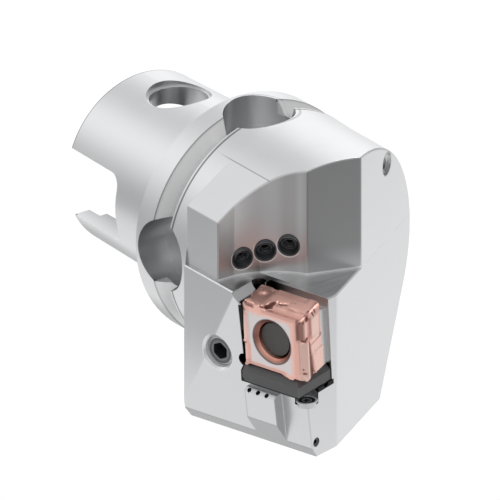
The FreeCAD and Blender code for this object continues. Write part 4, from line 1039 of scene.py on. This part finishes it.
def make_copper():
    """Copper-coloured hard coating, ground grey round the hole of both faces, with painted shade and painted
    highlights.
    """
    g = Graph("copper_coating")
    x, y, z = g.split(g.object)
    wobble = g.spread(g.noise(g.object, 450.0, 3.0), -0.9 * MM, 0.9 * MM)
    reach_x = g.math("ABSOLUTE", g.math("ADD", x, 0.7 * MM))
    reach_z = g.math("ABSOLUTE", g.math("ADD", z, 0.4 * MM))
    reach = g.math("ADD", g.math("SMOOTH_MAX", reach_x, reach_z, 1.6 * MM), wobble)
    half = INSERT_THICK / 2 * MM
    depth = g.math("ABSOLUTE", g.math("ADD", y, half))
    on_face = g.step(depth, half - 0.22 * MM, half - 0.10 * MM)
    share = g.times(g.flip(g.step(reach, 6.2 * MM, 7.4 * MM)), on_face)
    cloud = g.noise(g.object, 700.0, 4.0, 0.6)
    speckle = g.noise(g.object, 9000.0, 2.0)
    coat = g.mix(cloud, (0.97, 0.53, 0.45), (1.0, 0.63, 0.54))
    ground = g.mix(share, coat, (0.80, 0.745, 0.745))
    # Painted shade inside the hole: a deeper, redder copper.
    in_hole = g.flip(g.step(distance(g, x, z), 5.35 * MM, 5.55 * MM))
    ground = g.mix(g.times(in_hole, 0.8), ground, (0.90, 0.38, 0.27))
    # Painted shade and highlights from the points: above zero the coat darkens to dark wine, below zero it
    # turns lighter and less metallic.
    shade = g.attribute("shade")
    lighter = g.math("MULTIPLY", shade, -1.0, clamp=True)
    darker = g.math("MULTIPLY", shade, 1.0, clamp=True)
    color = g.mix(darker, g.mix(lighter, ground, (1.0, 0.74, 0.66)), (0.10, 0.030, 0.024))
    g.bump(speckle, 0.12, 0.00003, EDGE_ROUND)
    rough = g.math("ADD", g.spread(cloud, 0.32, 0.42), g.spread(speckle, -0.03, 0.03))
    return g.finish(color, g.spread(lighter, 0.85, 0.45), rough)


def painted_shim_shadow(g):
    """1 along the shim's left and lower sides, where the gap's shadow is painted on it."""
    left = g.flip(g.step(along(g, 0, 0.0), -9.5 * MM, -9.3 * MM))
    low = g.flip(g.step(along(g, 2, 0.0), -12.95 * MM, -12.8 * MM))
    corner = g.flip(g.step(g.math("ADD", along(g, 0, 0.0), along(g, 2, 0.0)), -21.6 * MM, -21.3 * MM))
    return g.most(left, low, corner)


def make_dark(name, dark, light, metallic, rough_low, rough_high, edge_highlight=0.0, painted_shadow=None):
    """A dark finish with fine grain and a cloudy tone; it can take a painted highlight on its edges and a
    painted shadow from a mask.
    """
    g = Graph(name)
    cloud = g.noise(g.object, 300.0, 4.0, 0.6)
    grain = g.noise(g.object, GRAIN_SCALE, 2.0)
    g.bump(grain, 0.2, GRAIN_DEPTH)
    rough = g.math("ADD", g.spread(cloud, rough_low, rough_high), g.spread(grain, -0.04, 0.04))
    color = g.mix(cloud, dark, light)
    # Painted highlight: the edges a little lighter.
    if edge_highlight > 0.0:
        color = g.mix(g.times(g.edges(0.15 * MM), 0.6), color, (edge_highlight, edge_highlight, edge_highlight))
    # Painted shadow, near black, where the given mask is 1.
    if painted_shadow is not None:
        color = g.mix(painted_shadow(g), color, (0.012, 0.012, 0.012))
    return g.finish(color, metallic, rough)


def make_screw(name, away, dark_to, light_from, dark, light, ring, ring_share):
    """A screw with a dark end face, with highlights painted on its edge and on a ring round its socket."""
    g = Graph(name)
    reach = away(g)
    cloud = g.noise(g.object, 500.0, 4.0, 0.6)
    grain = g.noise(g.object, GRAIN_SCALE, 2.0)
    g.bump(grain, 0.2, GRAIN_DEPTH)
    edge = g.most(g.step(reach, dark_to * MM, light_from * MM),
                  g.times(g.line(reach, ring * MM, 0.16 * MM), ring_share))
    face = g.mix(cloud, dark, [c * 1.4 for c in dark])
    rim = g.mix(cloud, light, [c * 1.1 for c in light])
    rough = g.math("ADD", g.spread(cloud, 0.32, 0.42), g.spread(grain, -0.04, 0.04))
    return g.finish(g.mix(edge, face, rim), g.spread(edge, 0.85, 0.2), rough)


def make_plug():
    """Steel painted dark as the port's shade, with a painted highlight streak across it."""
    g = Graph("plug_steel")
    aside, up = port_parts(g)
    streak = g.line(g.math("MULTIPLY_ADD", aside, -0.3, up), 0.1 * MM, 1.2 * MM)
    grain = g.noise(g.object, GRAIN_SCALE, 2.0)
    cloud = g.noise(g.object, 400.0, 3.0)
    g.bump(grain, 0.15, GRAIN_DEPTH)
    base = g.mix(cloud, (0.34, 0.35, 0.36), (0.50, 0.51, 0.52))
    # Painted highlight: a bright, less metallic streak across the port's painted shade.
    color = g.mix(streak, base, (0.95, 0.95, 0.95))
    return g.finish(color, g.spread(streak, 0.9, 0.4), g.spread(grain, 0.28, 0.38))


steel = make_steel()
copper = make_copper()
# After the roughness come the tone of the painted edge highlights and, for the shim, the mask of its painted
# shadow.
shim_dark = make_dark("sintered_carbide", (0.105, 0.105, 0.108), (0.155, 0.155, 0.157), 0.6, 0.42, 0.55,
                      0.30, painted_shim_shadow)
lever_dark = make_dark("hardened_steel", (0.100, 0.098, 0.095), (0.135, 0.132, 0.128), 0.4, 0.5, 0.6)
black = make_dark("black_oxide", (0.085, 0.092, 0.100), (0.17, 0.18, 0.19), 0.75, 0.28, 0.4, 0.35)
nozzle_dark = make_dark("nozzle_steel", (0.045, 0.050, 0.055), (0.13, 0.14, 0.15), 0.7, 0.28, 0.4, 0.5)
plug_steel = make_plug()
# Dark to and painted highlight from these distances off the axis, two tones, the painted ring's distance and
# its share.
clamp_finish = make_screw("phosphated_steel", from_clamp_screw, 3.34, 3.44,
                          (0.115, 0.118, 0.122), (0.86, 0.87, 0.88), 2.45, 0.14)
corner_finish = make_screw("corner_screw_steel", from_corner_screw, 2.00, 2.15,
                           (0.050, 0.052, 0.056), (0.82, 0.83, 0.84), 1.05, 0.7)
rubber = make_dark("seal_rubber", (0.012, 0.012, 0.012), (0.02, 0.02, 0.02), 0.0, 0.55, 0.7)

FINISH = {
    "holder_body": steel, "shim": shim_dark, "shim_screw": black, "cutting_insert": copper,
    "clamp_lever": lever_dark, "clamp_screw": clamp_finish, "rake_nozzle_left": black,
    "rake_nozzle_middle": black, "rake_nozzle_right": black, "port_plug": plug_steel,
    "flank_plug": black, "corner_screw": corner_finish, "coolant_seal": rubber,
}
for name, material in FINISH.items():
    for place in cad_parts[name].material_slots:
        place.material = material
dressed = [(dressed_insert, copper), (dressed_corner_screw, corner_finish)]
dressed += [(nozzle, nozzle_dark) for nozzle in dressed_nozzles]
for piece, material in dressed:
    piece.data.materials.clear()
    piece.data.materials.append(material)
